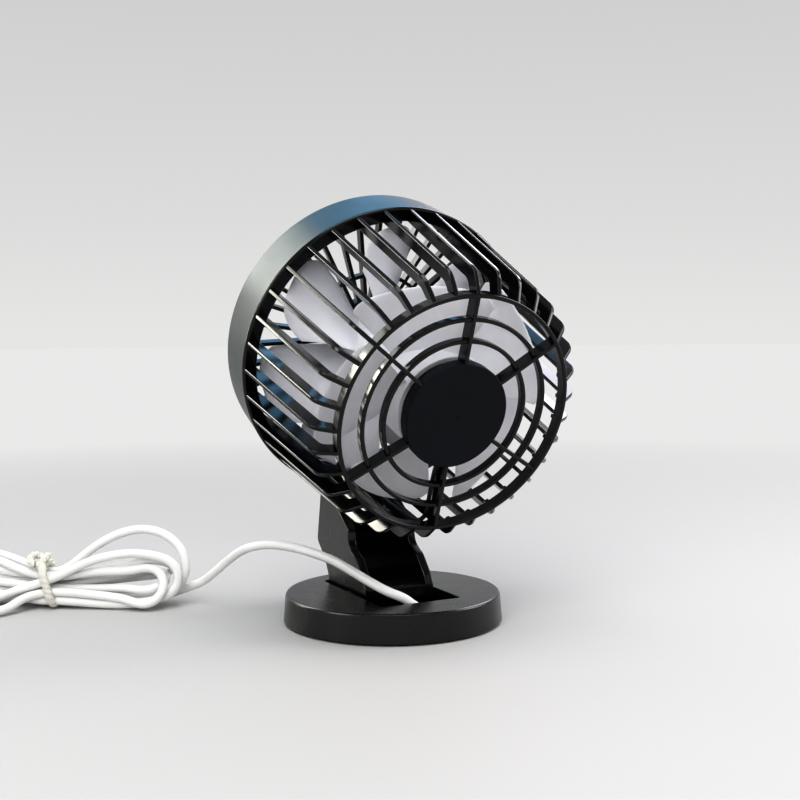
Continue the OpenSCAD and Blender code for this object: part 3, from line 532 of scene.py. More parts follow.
def make_surround(scene):
    """A pale surround whose grey follows the view's height, from just below the horizon to straight up."""
    world = bpy.data.worlds.new("Surround")
    scene.world = world
    world.use_nodes = True
    tree = world.node_tree
    height = node(tree, "SeparateXYZ", {"Vector": node(tree, "TexCoord").outputs["Generated"]}).outputs["Z"]
    sky = tints(tree, spread(tree, height, 0, 1, -0.2, 1.0), [
        (0.0, (0.575, 0.575, 0.572, 1)), (0.17, (0.572, 0.572, 0.568, 1)), (0.24, (0.532, 0.531, 0.530, 1)),
        (0.40, (0.470, 0.469, 0.470, 1)), (1.0, (0.30, 0.30, 0.31, 1))])
    wired(tree, tree.nodes["Background"], {"Color": sky, "Strength": 1.0})


def make_floor(scene):
    """A round floor of radius 9 m, with its rings r at even ratios. Between 0.20 and 0.72 m from the fan its
    matt surface fades into an even glow, so that no horizon shows."""
    a = np.linspace(0, 2 * np.pi, 96, endpoint=False)[None]
    r = np.r_[0.0, np.geomspace(0.05, 9.0, 24)][:, None]
    just_below = -0.0001
    points, faces = grid(np.stack([r * np.cos(a), r * np.sin(a), 0 * a + just_below + 0 * r], -1))
    mesh = bpy.data.meshes.new("floor")
    mesh.from_pydata(points.tolist(), [], faces)
    floor = bpy.data.objects.new("floor", mesh)
    scene.collection.objects.link(floor)
    material, tree, shader, place = fresh("Pale floor")
    wired(tree, shader, {
        "Base Color": tints(tree, noise(tree, place, 3.0, 2.0),
                            [(0.3, (0.490, 0.486, 0.480, 1)), (0.7, (0.506, 0.501, 0.499, 1))]),
        "Roughness": 0.65,
        "Specular IOR Level": 0.2})
    away = node(tree, "VectorMath", {0: place}, operation="LENGTH").outputs["Value"]
    glow = node(tree, "Emission", {"Color": (0.590, 0.590, 0.587, 1)}).outputs["Emission"]
    share = spread(tree, away, 0, 1, 0.20, 0.72)
    mix = node(tree, "MixShader", {"Fac": share, 1: shader.outputs["BSDF"], 2: glow})
    wired(tree, tree.nodes["Material Output"], {"Surface": mix.outputs["Shader"]})
    mesh.materials.append(material)


def make_lights(scene):
    """Eight soft lights that face the drum. Each has its place, size, power and colour, and two marks:
    whether matt surfaces are lit by it, and whether it shows in reflections."""
    drum = Vector((0.0, 0.01, 0.075))
    for name, where, size, power, colour, lit, shown in (
        ("left", (0.50, -0.92, 0.78), (0.75, 0.55), 4.6, (0.97, 1.0, 0.94), False, True),
        ("edge", (0.80, -0.92, 0.45), (0.14, 0.7), 4.2, (1.0, 0.97, 0.86), False, True),
        ("side", (1.15, 0.05, 0.55), (0.5, 0.6), 4.5, (1.0, 0.98, 0.90), False, True),
        ("blue", (-0.25, -0.90, 0.95), (0.75, 0.5), 1.45, (0.14, 0.58, 1.0), False, True),
        ("lilac", (-0.80, -0.50, 0.78), (0.6, 0.6), 5.0, (0.93, 0.90, 1.0), False, True),
        ("top", (0.12, 0.30, 1.25), (0.9, 0.9), 6.5, (1.0, 1.0, 1.0), True, True),
        ("right", (-1.08, 0.36, 0.62), (0.6, 0.8), 6.5, (1.0, 0.97, 1.0), True, True),
        ("fill", (0.65, 0.90, 0.85), (1.0, 1.0), 9.5, (0.99, 1.0, 0.98), True, False),
    ):
        data = bpy.data.lights.new(name, "AREA")
        data.shape = "RECTANGLE"
        data.size, data.size_y = size
        data.energy = power
        data.color = colour
        lamp = bpy.data.objects.new(name, data)
        lamp.visible_diffuse, lamp.visible_glossy = lit, shown
        lamp.location = where
        lamp.rotation_euler = (drum - Vector(where)).to_track_quat("-Z", "Y").to_euler()
        scene.collection.objects.link(lamp)


def make_camera(scene):
    """The camera looks against back, which points from azimuth 153.1 degrees (from -Y towards +X) and
    elevation 3.18 degrees, and is rolled by -0.36 degrees about it."""
    azimuth, elevation, roll = np.radians((153.1, 3.18, -0.36))
    flat = np.cos(elevation)
    back = np.array([np.sin(azimuth) * flat, -np.cos(azimuth) * flat, np.sin(elevation)])
    level = np.array([np.cos(azimuth), np.sin(azimuth), 0])
    over = np.cross(back, level)
    matrix = np.eye(4)
    matrix[:3, 0] = level * np.cos(roll) + over * np.sin(roll)
    matrix[:3, 1] = over * np.cos(roll) - level * np.sin(roll)
    matrix[:3, 2] = back
    matrix[:3, 3] = 0.1823, 0.3658, 0.0982
    data = bpy.data.cameras.new("camera")
    data.lens, data.sensor_width = 54.0, 36.0
    data.clip_start = 0.01
    camera = bpy.data.objects.new("camera", data)
    camera.matrix_world = Matrix(matrix.tolist())
    scene.collection.objects.link(camera)
    scene.camera = camera


def stage_scene():
    """The view's colours, the surround, the floor, the lights and the camera."""
    scene = bpy.context.scene
    scene.view_settings.view_transform = "Standard"
    scene.view_settings.look = "High Contrast"
    for make in (make_surround, make_floor, make_lights, make_camera):
        make(scene)


# --- The lead -----------------------------------------------------------------------------------------------

LEAD_ROUTE = [
    (-20, 17.8, 5.2), (-14, 17.8, 5.2), (-8, 17.8, 5.3), (-2.5, 18, 6.2), (1.6, 18.3, 8.6), (5, 18.4, 11.4),
    (9.4, 17.2, 13.2), (13.6, 13.6, 15.8), (17.4, 4, 19), (20, -5, 21.2), (23.4, -12, 22.7), (27, -18, 23.8),
    (31.3, -24.4, 24.4), (36, -31.2, 23.9), (41, -39.6, 20.8), (46.6, -50.4, 12.4), (50, -55.6, 7.8),
    (54, -58.2, 6)]
TAIL_ROUTE = [
    (105.4, -73.8, 5.6), (109.6, -73.2, 5), (113.6, -71.4, 3.6), (117.6, -69, 2.2), (122.6, -67.4, 2.2),
    (127.4, -68.8, 3.4), (131, -70.6, 3.7)]
HANK_PLACE = np.array([52.0, -53.0, 0.0])
HANK_ALONG = np.array([np.cos(np.radians(-27)), np.sin(np.radians(-27)), 0])
HANK_TOWARDS = np.array([-HANK_ALONG[1], HANK_ALONG[0], 0])
NECK = 52.5

# Places along the hank, as (along, towards the near side, up). The lead passes the tie eleven times.
HANK_ROUTE = [
    (12, -4.8, 2.6), (24, -5.8, 1.8), (38, -5.4, 2.2), (NECK, -4.9, 3.4),
    (62, -5.6, 2.4), (74, -7.0, 1.8), (86, -8, 1.9), (95, -7.6, 4.2), (99.6, -6.8, 8.6), (99.4, -6.2, 13.2),
    (95, -6, 17.4), (87, -5.8, 19.6), (79, -5.2, 19.6), (71, -4.6, 17.4), (61.5, -4.6, 13.4),
    (NECK, -4.9, 10.2),
    (44, -3.6, 17.0), (36, -3, 23.0), (27.5, -4, 26.8), (19.5, -4, 27.8), (12, -3, 25.4), (6.6, -1.6, 20.8),
    (4.4, 0, 15), (4.8, 1, 9.6), (8.8, 1.5, 4.6), (16, 1.2, 2.0), (27, 0.2, 1.8), (40, -1, 2.4),
    (NECK, -1.6, 3.4),
    (62, -1.2, 2.4), (74, -2, 1.8), (86, -3.4, 1.8), (95.4, -2.2, 1.8), (99.8, 3, 1.8), (96.6, 8.4, 1.8),
    (87, 10, 1.8), (79, 9, 2.4), (71, 7.6, 4.4), (62, 6, 8.2), (NECK, 4.9, 10.2),
    (41, 4.8, 16.4), (31.5, 5, 19.2), (22.4, 5.4, 20.3), (13.6, 5.6, 18.9), (7.6, 5.6, 15.8),
    (5.2, 5.8, 11.6),
    (7, 6, 7.2), (12, 6.4, 3.9), (20, 6.8, 2.1), (29, 6.6, 1.8), (40, 5.8, 2.6), (NECK, 4.9, 3.4),
    (62, 4.6, 4.2), (74, 3.8, 5.4), (86, 3.4, 6.6), (94.6, 3.4, 9.4), (97.6, 3.2, 13.6), (94.4, 3, 17.2),
    (86.6, 2.4, 18.2), (79, 1.4, 16.0), (71, 0, 12.8), (61.5, -1.2, 11.4), (NECK, -1.6, 10.2),
    (40, -0.4, 12.0), (28, 1.6, 14.4), (17.6, 2.4, 15.8), (10.6, 0.4, 15.4), (8.2, -3, 13.9),
    (11.2, -6.2, 11.8),
    (19, -7, 10.2), (29, -6.4, 8.6), (40, -5.4, 7.4), (NECK, -4.9, 6.8),
    (62, -5.2, 7.2), (73, -6.6, 7.6), (84, -8.2, 7.8), (93, -7.6, 7.8), (97, -3.2, 7.4), (95.6, 2, 6.6),
    (88, 4.0, 5.6), (78, 2, 6), (66, -0.6, 6.6), (NECK, -1.6, 6.8),
    (42, -2.4, 8.4), (30, -3.4, 9.6), (20, -4.6, 10.4), (12.6, -3.8, 10.2), (9.2, -0.4, 9.4),
    (12.2, 2.4, 8.6),
    (20, 3, 7.8), (31, 2.6, 6.8), (42, 1.8, 6.4), (NECK, 1.6, 6.8),
    (62, 2, 7.8), (73, 1.4, 9.2), (84, 0, 11.2), (91.6, -1.4, 13), (94, -2.4, 16), (90, -2.6, 18.8),
    (81, -1.6, 18.4), (71, 0.4, 15.2), (61.5, 1.4, 12), (NECK, 1.6, 10.2),
    (40, 2.4, 12.8), (28, 3.8, 13.4), (17.6, 5, 12.8), (10.4, 7, 11), (9, 9, 8.2), (12.8, 9.6, 5.6),
    (22, 8.8, 4.4), (32, 7.2, 4.6), (42, 5.8, 5.4), (NECK, 4.9, 6.4)]


def from_hank(points):
    """From the hank's own frame to the fan's."""
    p = np.asarray(points, float)
    return HANK_PLACE + p[:, :1] * HANK_ALONG + p[:, 1:2] * HANK_TOWARDS + p[:, 2:3] * UP


def lead_line():
    """The lead's centreline. Its turns in the hank are settled: each round, points of different turns nearer
    than a diameter push each other apart, steps keep their length, and where the chord over a stretch is
    shorter than 2 R sin(stretch / 2 R), R being the tightest bend, its ends move apart. In the first rounds
    the points are also drawn towards their first places. No point goes below the table. The free stretches at
    both ends keep their places."""
    per_place, step, bend = 8, 1.6, 7.0
    rounds, drawn_rounds, longest_move, off_table = 260, 160, 0.6, 0.05
    pushing, evening, drawing = 0.28, 0.08, 0.02
    same_turn, shortest_hank = 6, 50
    radius = in_mm().cord / 2
    first = smooth_line(LEAD_ROUTE, per_place)
    last = smooth_line(TAIL_ROUTE, per_place)
    through = np.vstack([LEAD_ROUTE[-2:], from_hank(HANK_ROUTE), TAIL_ROUTE[:2]])
    hank = smooth_line(through, per_place)[per_place:-per_place]
    line = even(np.vstack([first[:-1], hank, last[1:]]), step)
    begin = int(np.argmin(np.linalg.norm(line - first[-1], axis=1)))
    beyond = begin + shortest_hank
    end = beyond + int(np.argmin(np.linalg.norm(line[beyond:] - last[0], axis=1)))
    free = np.zeros(len(line), bool)
    free[begin + 1:end] = True
    start = line.copy()
    index = np.arange(len(line))
    apart = np.abs(index[:, None] - index[None]) > same_turn
    for turn in range(rounds):
        gap = line[:, None] - line[None]
        distance = np.linalg.norm(gap, axis=2) + 1e-6
        push = np.where(apart & (distance < 2 * radius), (2 * radius - distance) * pushing, 0.0)
        move = (gap / distance[..., None] * push[..., None]).sum(1)
        evened = np.zeros_like(line)
        evened[1:-1] = (line[:-2] + line[2:]) / 2 - line[1:-1]
        move = move + evening * evened + (drawing if turn < drawn_rounds else 0.0) * (start - line)
        for reach, share in ((1, 0.3), (4, 0.12), (8, 0.12), (12, 0.08)):
            chord = line[reach:] - line[:-reach]
            size = np.linalg.norm(chord, axis=1, keepdims=True) + 1e-9
            wanted = step if reach == 1 else 2 * bend * np.sin(min(reach * step / (2 * bend), np.pi / 2))
            lack = (wanted - size) if reach == 1 else np.maximum(wanted - size, 0)
            move[reach:] += chord / size * lack * share
            move[:-reach] -= chord / size * lack * share
        size = np.linalg.norm(move, axis=1, keepdims=True)
        move *= np.minimum(1, longest_move / np.maximum(size, 1e-9))
        line = line + move * free[:, None]
        line[:, 2] = np.where(free, np.maximum(line[:, 2], radius + off_table), line[:, 2])
    return line


def smooth_ends(line):
    """Averages each point with its neighbours a few times, keeping both ends."""
    for _ in range(3):
        line[1:-1] = (line[:-2] + 2 * line[1:-1] + line[2:]) / 4
    return line


def make_lead():
    """The lead as a round curve, with its centreline in metres."""
    line = smooth_ends(lead_line()) * MM
    curve = bpy.data.curves.new("lead", "CURVE")
    curve.dimensions = "3D"
    curve.bevel_depth = sizes().cord / 2
    curve.bevel_resolution = 5
    curve.use_fill_caps = True
    spline = curve.splines.new("POLY")
    spline.points.add(len(line) - 1)
    spline.points.foreach_set("co", np.column_stack([line, np.ones(len(line))]).ravel())
    spline.use_smooth = True
    lead = bpy.data.objects.new("lead", curve)
    return settled(lead, "white_pvc", "base", ("cord_lead", "cord_hank", "cord_tail")), line


def yarn(route, radius, closed):
    """A yarn along a route in the hank's frame: a round section of radius r (1 + 0.13 cos(2w - a)), with w
    the angle round it and a growing by a full turn every 1.9 mm. The radius of an open yarn is also
    multiplied by (1 - |2t - 1|^24)^(1/2), with t its share of the length."""
    step, twist = 0.5, 1.9
    line = even(from_hank(route), step)
    w = np.linspace(0, 2 * np.pi, 14, endpoint=False)
    t = np.linspace(0, 1, len(line))[:, None]
    turns = t * len(line) * step / twist
    size = radius * (1 + 0.13 * np.cos(2 * w[None] - 2 * np.pi * turns))
    if not closed:
        size = size * np.sqrt(np.clip(1 - np.abs(2 * t - 1) ** 24, 0.0, 1))
    points = swept(line, np.stack([size * np.cos(w), size * np.sin(w)], -1), HANK_ALONG)
    return grid(points[:-1], wrap_rows=True) if closed else capped(points)


def make_tie():
    """A yarn that goes once round the hank's neck, leaning along it, and a second one that curls on top. Its
    map runs round the neck with the angle, and along the hank in strands of 0.8 mm."""
    low, high, half, corner = 1.75, 15.4, 8.0, 4.2
    middle, lean, crossing, curl_ahead = 52.0, 0.3, 0.6, 3.6
    band = filleted([(-half, low), (half, low), (half, high), (-half, high)], corner, 9)
    band = np.roll(band, -24, 0)
    band = np.vstack([band, band[:1]])
    along = np.linspace(crossing, -crossing, len(band))
    ring = np.column_stack([middle + (band[:, 1] - low) * lean + along, band])
    curl = np.array([
        (51.8, 2.0, 15.9), (52.6, 0.4, 17.0), (54.6, -0.6, 18.2), (56.6, 0.4, 18.6), (57.4, 2.2, 17.4),
        (56.2, 3.4, 16.0), (54.2, 3.6, 15.8), (52.6, 2.8, 17.0), (51.6, 1.2, 18.4), (50.6, -0.6, 18.2)])
    curl[:, 0] += curl_ahead
    shape = joined(yarn(ring, 1.45, True), yarn(smooth_line(curl, 6), 1.25, False))
    tie = piece("tie", shape, "tie_cord", "base", ("cord_tie",), crease=70, weighted=False)
    mesh = tie.data
    co = np.zeros(len(mesh.vertices) * 3)
    mesh.vertices.foreach_get("co", co)
    co = co.reshape(-1, 3) - from_hank([(52.4, 0, 9)])[0] * MM
    loops = np.zeros(len(mesh.loops), int)
    mesh.loops.foreach_get("vertex_index", loops)
    angle = np.arctan2(co[:, 2], co @ HANK_TOWARDS)
    per_radian, strand = 6.5, 0.0008
    uv = np.stack([angle * per_radian, (co @ HANK_ALONG) / strand], 1)[loops]
    mesh.uv_layers.new(name="strand").data.foreach_set("uv", uv.ravel())
    return tie


def make_plug():
    """The plug's moulded grip with its tapered boot. Its section is a superellipse whose power is 2 at the
    cord and grows to 5.2 at the grip. Three grooves run round the boot, and the far end is rounded."""
    length, boot_end, rounding = 29.0, 8.0, 1.45
    least, wider, taller = 2.3, 3.9, 1.35
    x = length * np.linspace(0, 1, 73)
    grow = np.clip((x - 1.0) / (boot_end - 1.0), 0, 1)
    grow = grow * grow * (3 - 2 * grow)
    end = np.sqrt(np.clip(1 - np.clip((x - 27.6) / rounding, 0, 1) ** 2, 0.02, 1))
    scale = 0.82 + 0.18 * end
    groove = np.ones(len(x))
    for at, depth in ((2.0, 0.13), (3.9, 0.11), (5.8, 0.08)):
        groove -= depth * np.exp(-((x - at) / 0.45) ** 2)
    power = (2 / (2 + 3.2 * grow))[:, None]
    wide = ((least + grow * wider) * groove * scale)[:, None]
    tall = ((least + grow * taller) * groove * scale)[:, None]
    w = np.linspace(0, 2 * np.pi, 48, endpoint=False)[None]
    y = wide * np.sign(np.cos(w)) * np.abs(np.cos(w)) ** power
    z = tall * np.sign(np.sin(w)) * np.abs(np.sin(w)) ** power
    place = np.array(TAIL_ROUTE[-1], float)
    points = place + x[:, None, None] * HANK_ALONG + y[..., None] * HANK_TOWARDS + z[..., None] * UP
    return piece("plug_grip", capped(points), "white_pvc", "base", ("usb_plug_grip",))


# --- The base -----------------------------------------------------------------------------------------------


def make_base():
    """The base's shell as one closed surface of two parameters: t runs round the slot's outline and the
    matching points of the circle, and u runs up the slot's wall, over its edge, across the top, over the rim,
    down the side and back inside. A point of the top lies on the line from the slot's centre through its
    outline."""
    s = in_mm()
    radius, top_radius, height = s.base_radius, s.base_top_radius, s.base_height
    side, front, rear = s.arm_width / 2 + 1.5, -26.0, 21.3
    wall, skirt, floor, draft = 2.0, 0.6, 2.2, 0.1
    slot_edge, rim_edge, foot_edge = 0.45, 0.9, 0.35
    slope = (radius - top_radius) / height
    corners = filleted([(side, front), (side, rear), (-side, rear), (-side, front)], 1.0, 7)
    slot = even(np.vstack([corners, corners[:1]]), 0.7)[:-1]
    centre = np.array([0, (front + rear) / 2])
    ray = slot - centre
    ray /= np.linalg.norm(ray, axis=1, keepdims=True)
    b = ray @ centre

    def circle(r):
        return centre + ray * (-b + np.sqrt(b * b - centre @ centre + r * r))[:, None]

    def angles(start, end, steps):
        return np.radians(np.linspace(start, end, steps))

    rows = [(slot, floor), (slot, height - slot_edge)]
    for a in angles(15, 90, 6):
        rows.append((inset(slot, -slot_edge * (1 - np.cos(a))), height - slot_edge + slot_edge * np.sin(a)))
    edge = rows[-1][0]
    for t in (0.03, 0.35, 0.7, 0.97):
        rows.append((edge * (1 - t) + circle(top_radius - 0.95) * t, height))
    for a in angles(90, 4, 9):
        bend = circle(top_radius - rim_edge + rim_edge * np.cos(a))
        rows.append((bend, height - rim_edge + rim_edge * np.sin(a)))
    for z in (height - 1.2, 5.0, skirt + 0.5):
        rows.append((circle(radius - slope * z), z))
    foot = radius - slope * skirt - foot_edge
    for a in angles(0, -90, 5):
        rows.append((circle(foot + foot_edge * np.cos(a)), skirt + foot_edge + foot_edge * np.sin(a)))
    rows += [(circle(radius - wall + draft), skirt), (circle(top_radius - wall + draft), height - wall),
             (inset(slot, -wall), height - wall), (inset(slot, -wall), floor)]
    surface = [np.column_stack([outline, np.full(len(outline), z)]) for outline, z in rows]
    shell = grid(np.array(surface), wrap_rows=True)
    return piece("base_body", shell, "black_plastic", "base", ("base_shell",), crease=28)


# --- The arm ------------------------------------------------------------------------------------------------


def arm_outlines():
    """The arm's side outlines in (y, z): the whole cheek, the web behind its front edge, and the foot."""
    foot_front, foot_back, shelf, knee = -25.2, 5.6, 12.3, (-22.2, 13.5)
    eye, eye_r, web_top = TILT[1:], 5.2, 32.5
    eye_front = eye[0] - eye_r
    rise = [(foot_front, FOLD[2] + 3.2), (foot_front, 11.3)]
    heel = [(foot_back, 12.1), (foot_back, 8.3)]
    front = rise + [(-28.5, 17.0), (-35.5, 23.4)]
    around = arc(eye, eye_r, 180, 38, 20)
    back = [(-8, 31), (-8, 25), (-1.6, 21.6), (4.2, 15.1)] + heel
    barrel = arc(FOLD[1:], 3.3, -58, -122, 7)
    sharp = np.zeros(len(barrel))
    radii = np.r_[0, 0.5, 1.5, 2.6, np.zeros(len(around)), 3.0, 5.0, 5.0, 0.8, 0.5, 0, sharp]
    cheek = filleted(np.vstack([front, around, back, barrel]), radii, 7)
    inner = [(eye_front + 2.4, web_top), (-33.0, 23.6), (-26.1, 17.2), (-22.2, 12.4)]
    web = filleted(front + [(eye_front - 0.75, web_top)] + inner, [0, 0.5, 1.5, 2.6, 0.5, 0.5, 2.0, 1.5, 0], 7)
    foot = np.vstack([rise, [knee, (foot_back - 2, shelf)], heel, barrel])
    return cheek, web, filleted(foot, np.r_[0, 0.5, 0.6, 0.8, 0.5, 0, sharp], 5)


def make_arm():
    """The folding arm: two cheeks with the web and the foot between them."""
    s = in_mm()
    half, thick, under_cheeks = s.arm_width / 2, s.cheek, 0.03
    cheek, web, foot = arm_outlines()
    side = slab(inset(cheek, 0.02), thick / 2, 0.45)
    shapes = [upright(side, half - thick / 2), upright(side, thick / 2 - half)]
    shapes += [upright(slab(outline, half - under_cheeks, 0.4)) for outline in (web, foot)]
    return piece("arm_body", joined(*shapes), "black_plastic", "arm", ("arm",), crease=30, loose=True)


# --- The head -----------------------------------------------------------------------------------------------

LIP = 1.2
SEAT = 4.6


def head_piece(name, shapes, slot, nodes, crease, body="head", look=None):
    """A piece of the head from several closed shells in the head's frame."""
    return piece(name, in_head(joined(*shapes)), slot, body, nodes, look, crease, loose=True)


def rib_outline():
    """One rib in (radius, s): straight from the rim to the shoulder, rounded there, and slanting to the rear
    ring."""
    s = in_mm()
    slope = s.rib_taper / s.cage_length
    foot = np.array([s.ring_radius, 0.5])
    slant = np.array([np.cos(s.shoulder_slant), np.sin(s.shoulder_slant)])
    reach = (s.rib_radius - s.rib_taper + slope * foot[1] - foot[0]) / (slant[0] - slope * slant[1])
    outer = foot + reach * slant
    inner = outer + np.array([-s.rib_depth, s.rib_depth * np.tan(np.pi / 4 - s.shoulder_slant / 2) + 0.4])
    post = s.ring_radius - 0.7
    low = np.array([post, inner[1] - (inner[0] - post) * slant[1] / slant[0]])
    top = s.cage_length + 0.2
    corners = [(s.rib_radius, top), outer, foot, (post, foot[1]), low, inner, (s.rib_radius - s.rib_depth, top)]
    return filleted(corners, [0, s.shoulder, 0, 0, 0.6, s.shoulder - s.rib_depth + 1.5, 0], 8)


def make_cage():
    """The rear cage with its ribs, rim, rings and spokes, and the disc in its middle."""
    s = in_mm()
    length, rim, ring, disc = s.cage_length, s.rim_radius, s.ring_radius, s.disc_radius
    lip = length + LIP
    rim_outline = [(rim, length), (rim, lip), (rim - 4.7, lip), (rim - 4.7, length)]
    spoke = np.array([(disc - 0.8, 0.2), (ring - 0.7, 0.2), (ring - 0.7, 5), (disc - 0.8, 5)])
    places = np.array([0, 5, 11.5, 17, 22.5, 29])
    cage = head_piece("cage", [
        fanned(upright(slab(rib_outline(), s.rib_width / 2, 0.34, 4)), s.ribs),
        lathe(filleted(rim_outline, [0.9, 0.2, 0.2, 0.5], 7), 160),
        hoop(rim - 1.85, rim - 3.45, length + 0.6, lip + 5, 0.3, 120),
        hoop(ring, ring - 1.4, 0, 4, 0.4, 128),
        hoop(32, 30.6, 0.8, 3.6, 0.45, 112),
        hoop(25, 23.6, 0.8, 3.6, 0.45, 96),
        turned(upright(slab(spoke, 0.65, 0.3, 4)), 2 * np.pi / s.ribs * places),
    ], "black_plastic", ("rear_cage",), 34, look="gloss_plastic")
    face = np.vstack([
        [(0.0, 0.1), (0.45, 0.08), (0.8, -0.18), (1.15, -0.3), (disc - 0.5, -0.3)],
        arc((disc - 0.5, 0.2), 0.5, -90, 0, 6)[1:],
        [(disc, 3.7)], arc((disc - 0.3, 3.7), 0.3, 0, 90, 4)[1:],
        [(disc - 1.4, 4.0), (disc - 1.4, 1.4), (0.0, 1.4)]])
    return cage, piece("rear_disc", in_head(lathe(face, 128)), "disc_plastic", "head")


def make_band():
    """The band round the front of the head, with the eye that the arm holds."""
    s = in_mm()
    start, rim = s.cage_length + 1.22, s.rim_radius - 0.2
    end, front = s.cage_length + LIP + s.band_length, rim - s.band_taper
    inner, seat = rim - 1.5, end - SEAT
    outline = filleted([
        (rim, start), (front, end), (inner - 0.75, end), (inner - 0.75, seat), (inner - 2, seat),
        (inner - 2, seat - 1.4), (inner - 0.9, seat - 2.4), (inner - 0.9, start + 6.4),
        (inner, start + 5.5), (inner, start)], [0.2, 0.7, 0.25, 0.1, 0.3, 0.2, 0.2, 0.2, 0.2, 0.1], 6)
    turn, drop, top = 55.5, 57.9, 1.1 - rim
    lug = np.vstack([[(top, start + 0.5)], arc((-drop, turn), 4.4, 232, 38, 30),
                     [(top - 3.4, turn + 5.2), (top, turn + 9)]])
    shapes = [lathe(outline, 192), upright(slab(lug, 8.95, 0.4))]
    return head_piece("band", shapes, "band_plastic", ("front_band",), 30)


def make_front_grille():
    """The front guard with its spokes and rings, and the cap in its middle."""
    s = in_mm()
    end = s.cage_length + LIP + s.band_length
    seat, outer, cap_radius = end - SEAT, s.rim_radius - 2.6, 12.25
    spoke = np.array([(13, seat + 0.6), (outer - 0.8, seat + 0.6), (outer - 0.8, end - 0.7), (13, end - 0.7)])
    first = np.pi / s.front_spokes - np.radians(2)
    grille = head_piece("front_guard", [
        hoop(outer, outer - 1.6, seat + 0.04, end - 0.4, 0.4, 128),
        fanned(upright(slab(spoke, 0.65, 0.35, 4)), s.front_spokes, first),
        hoop(24, 22.8, seat + 0.8, end - 0.9, 0.35, 96),
        hoop(15, 12.4, seat, end - 0.4, 0.4, 96),
        lathe([(0.0, seat), (13.4, seat), (13.4, seat + 1.4), (0.0, seat + 1.4)], 64),
        hoop(4.6, 3.05, seat - 2.4, seat + 0.4, 0.2, 48),
        hoop(9.36, 8.2, seat - 1.9, seat + 0.4, 0.2, 64),
    ], "black_plastic", ("front_grille",), 34)
    rounded = filleted([(cap_radius, end - 2.0), (cap_radius, end - 0.6), (0, end - 0.2)], [0, 0.5, 0], 6)
    dome = np.vstack([[(0.0, end - 2.4), (cap_radius, end - 2.4), (cap_radius, end - 0.95)], rounded[1:-1],
                      [(6.0, end - 0.22), (0.0, end - 0.1)]])
    return grille, piece("guard_cap", in_head(lathe(dome, 96)), "disc_plastic", "head", ("front_cap",))


def blade_surface(hub, tips, edges, span, bow, lean=0.0, sweep=0.0):
    """One twisted blade as a closed surface of two parameters. v runs outwards from the hub, and w round the
    section: u = (1 - cos w) / 2 is the share of the chord, and the half thickness is (t / 2) (1 - |2u -
    1|^10)^(1/2) (1 - v^24)^(1/2), with the sign of sin w. The tip's radius runs from the first of tips to the
    second with u^3, less 3 |2u - 1|^10; a blade with a sweep has less 6 max(0, 1 - 2u)^4 + sweep max(0, u /
    0.4 - 1.5)^2 instead. The angle is span u + bow v (1 - v) + lean (1 - v) (1 - u) degrees, and s runs from
    the first of edges to the second with a camber of u (1 - u) / 4 and a twist of 0.8 v (1/2 - u)."""
    w = np.linspace(0, 2 * np.pi, 72, endpoint=False)[None]
    v = ((1 - np.cos(np.linspace(0, np.pi, 22)))[:, None] / 2) ** 0.9
    u = (1 - np.cos(w)) / 2
    corner = 3 * np.abs(2 * u - 1) ** 10
    if sweep:
        corner = 6 * np.maximum(0, 1 - 2 * u) ** 4 + sweep * np.maximum(0, u / 0.4 - 1.5) ** 2
    r = hub + (tips[0] + (tips[1] - tips[0]) * u ** 3 - corner - hub) * v
    angle = np.radians(span * u + bow * v * (1 - v) + lean * (1 - v) * (1 - u))
    half = in_mm().blade_thickness / 2
    thick = half * np.sqrt(np.clip(1 - np.abs(2 * u - 1) ** 10, 0, 1)) * np.sqrt(np.clip(1 - v ** 24, 0, 1))
    camber = u + u * (1 - u) / 4
    s = edges[0] + (edges[1] - edges[0]) * camber + 0.8 * v * (0.5 - u) + thick * np.sign(np.sin(w))
    return capped(np.stack([r * np.sin(angle), r * np.cos(angle), s + 0 * r], -1))


def make_rear_fan():
    """The rear fan: a cup-shaped hub with its blades."""
    hub = filleted([(17, 7.2), (17, 34.9), (3.8, 34.9), (3.8, 38.9), (1.17, 38.9), (1.17, 31.4), (3.8, 31.4),
                    (3.8, 33.2), (15.3, 33.2), (15.3, 7.2)], [0.3, 1, 0.4, 0.3, 0, 0, 0.2, 0.4, 0.6, 0.3], 5)
    blade = blade_surface(16.5, (37, 42), (8.6, 23), span=0.96 * 72, bow=1, lean=8.5)
    shapes = [lathe(hub, 128), fanned(blade, sizes().blades, np.radians(-20))]
    return head_piece("rear_blades", shapes, "blade_plastic", ("rear_fan",), 40, "rotor")


def make_front_fan():
    """The front fan: a cup-shaped hub with its blades."""
    hub = filleted([(1.17, 44.6), (3, 44.6), (3, 46.6), (13, 46.6), (13, 63), (11.4, 63), (11.4, 48.4),
                    (3.6, 48.4),
                    (3.6, 49.2), (1.17, 49.2)], [0, 0.4, 0.3, 1, 0.3, 0.3, 0.6, 0.2, 0.2, 0], 5)
    blade = blade_surface(12.5, (44.2, 44.2), (62, 48), span=0.76 * 360 / 7, bow=-6, sweep=9.5)
    shapes = [lathe(hub, 112), fanned(blade, sizes().front_blades, np.radians(39.8))]
    return head_piece("front_blades", shapes, "blade_plastic", ("front_fan",), 40, "front_rotor")


# --- Operators ----------------------------------------------------------------------------------------------


class FAN_OT_stage(bpy.types.Operator):
    """Add the floor, the lights and the camera"""

    bl_idname = "fan.stage"
    bl_label = "Stage"

    def execute(self, context):
        stage_scene()
        return {"FINISHED"}


class FAN_OT_lead(bpy.types.Operator):
    """Add the lead with its tied hank, the tie and the plug"""

    bl_idname = "fan.lead"
    bl_label = "Lead"

    def execute(self, context):
        lead, line = make_lead()
        tie = make_tie()
        grip = make_plug()
        return {"FINISHED"}


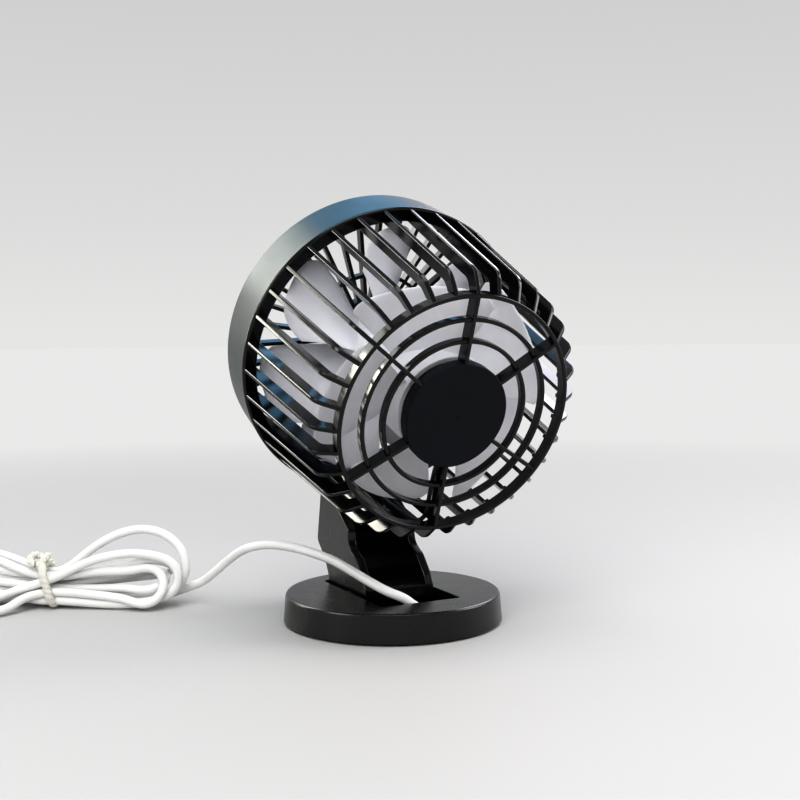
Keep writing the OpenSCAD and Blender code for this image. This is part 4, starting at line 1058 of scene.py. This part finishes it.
class FAN_OT_base(bpy.types.Operator):
    """Add the base's shell"""

    bl_idname = "fan.base"
    bl_label = "Base"

    def execute(self, context):
        make_base()
        return {"FINISHED"}


class FAN_OT_arm(bpy.types.Operator):
    """Add the folding arm"""

    bl_idname = "fan.arm"
    bl_label = "Arm"

    def execute(self, context):
        make_arm()
        return {"FINISHED"}


class FAN_OT_head(bpy.types.Operator):
    """Add the cage, the band and the front guard"""

    bl_idname = "fan.head"
    bl_label = "Head"

    def execute(self, context):
        make_cage()
        make_band()
        make_front_grille()
        return {"FINISHED"}


class FAN_OT_blades(bpy.types.Operator):
    """Add both fans"""

    bl_idname = "fan.blades"
    bl_label = "Fans"

    def execute(self, context):
        make_rear_fan()
        make_front_fan()
        return {"FINISHED"}


class FAN_PT_panel(bpy.types.Panel):
    """The fan's sizes, colours and building steps"""

    bl_idname = "FAN_PT_panel"
    bl_label = "Desk Fan"
    bl_space_type = "VIEW_3D"
    bl_region_type = "UI"
    bl_category = "Desk Fan"

    def draw(self, context):
        layout = self.layout
        for group in (context.scene.fan_sizes, context.scene.fan_colours):
            column = layout.column()
            for name in setting_names(group):
                column.prop(group, name)
        for operator in STEPS:
            layout.operator(operator.bl_idname)


STEPS = (FAN_OT_stage, FAN_OT_lead, FAN_OT_base, FAN_OT_arm, FAN_OT_head, FAN_OT_blades)
CLASSES = (FanSizes, FanColours) + STEPS + (FAN_PT_panel,)


def register():
    """Registers the classes and both groups of settings."""
    for cls in CLASSES:
        bpy.utils.register_class(cls)
    bpy.types.Scene.fan_sizes = PointerProperty(type=FanSizes)
    bpy.types.Scene.fan_colours = PointerProperty(type=FanColours)


def unregister():
    """Takes back what register did."""
    del bpy.types.Scene.fan_colours
    del bpy.types.Scene.fan_sizes
    for cls in reversed(CLASSES):
        bpy.utils.unregister_class(cls)


def main():
    """Builds the whole fan."""
    register()
    bpy.ops.fan.stage()
    bpy.ops.fan.lead()
    bpy.ops.fan.base()
    bpy.ops.fan.arm()
    bpy.ops.fan.head()
    bpy.ops.fan.blades()


if __name__ == "__main__":
    main()
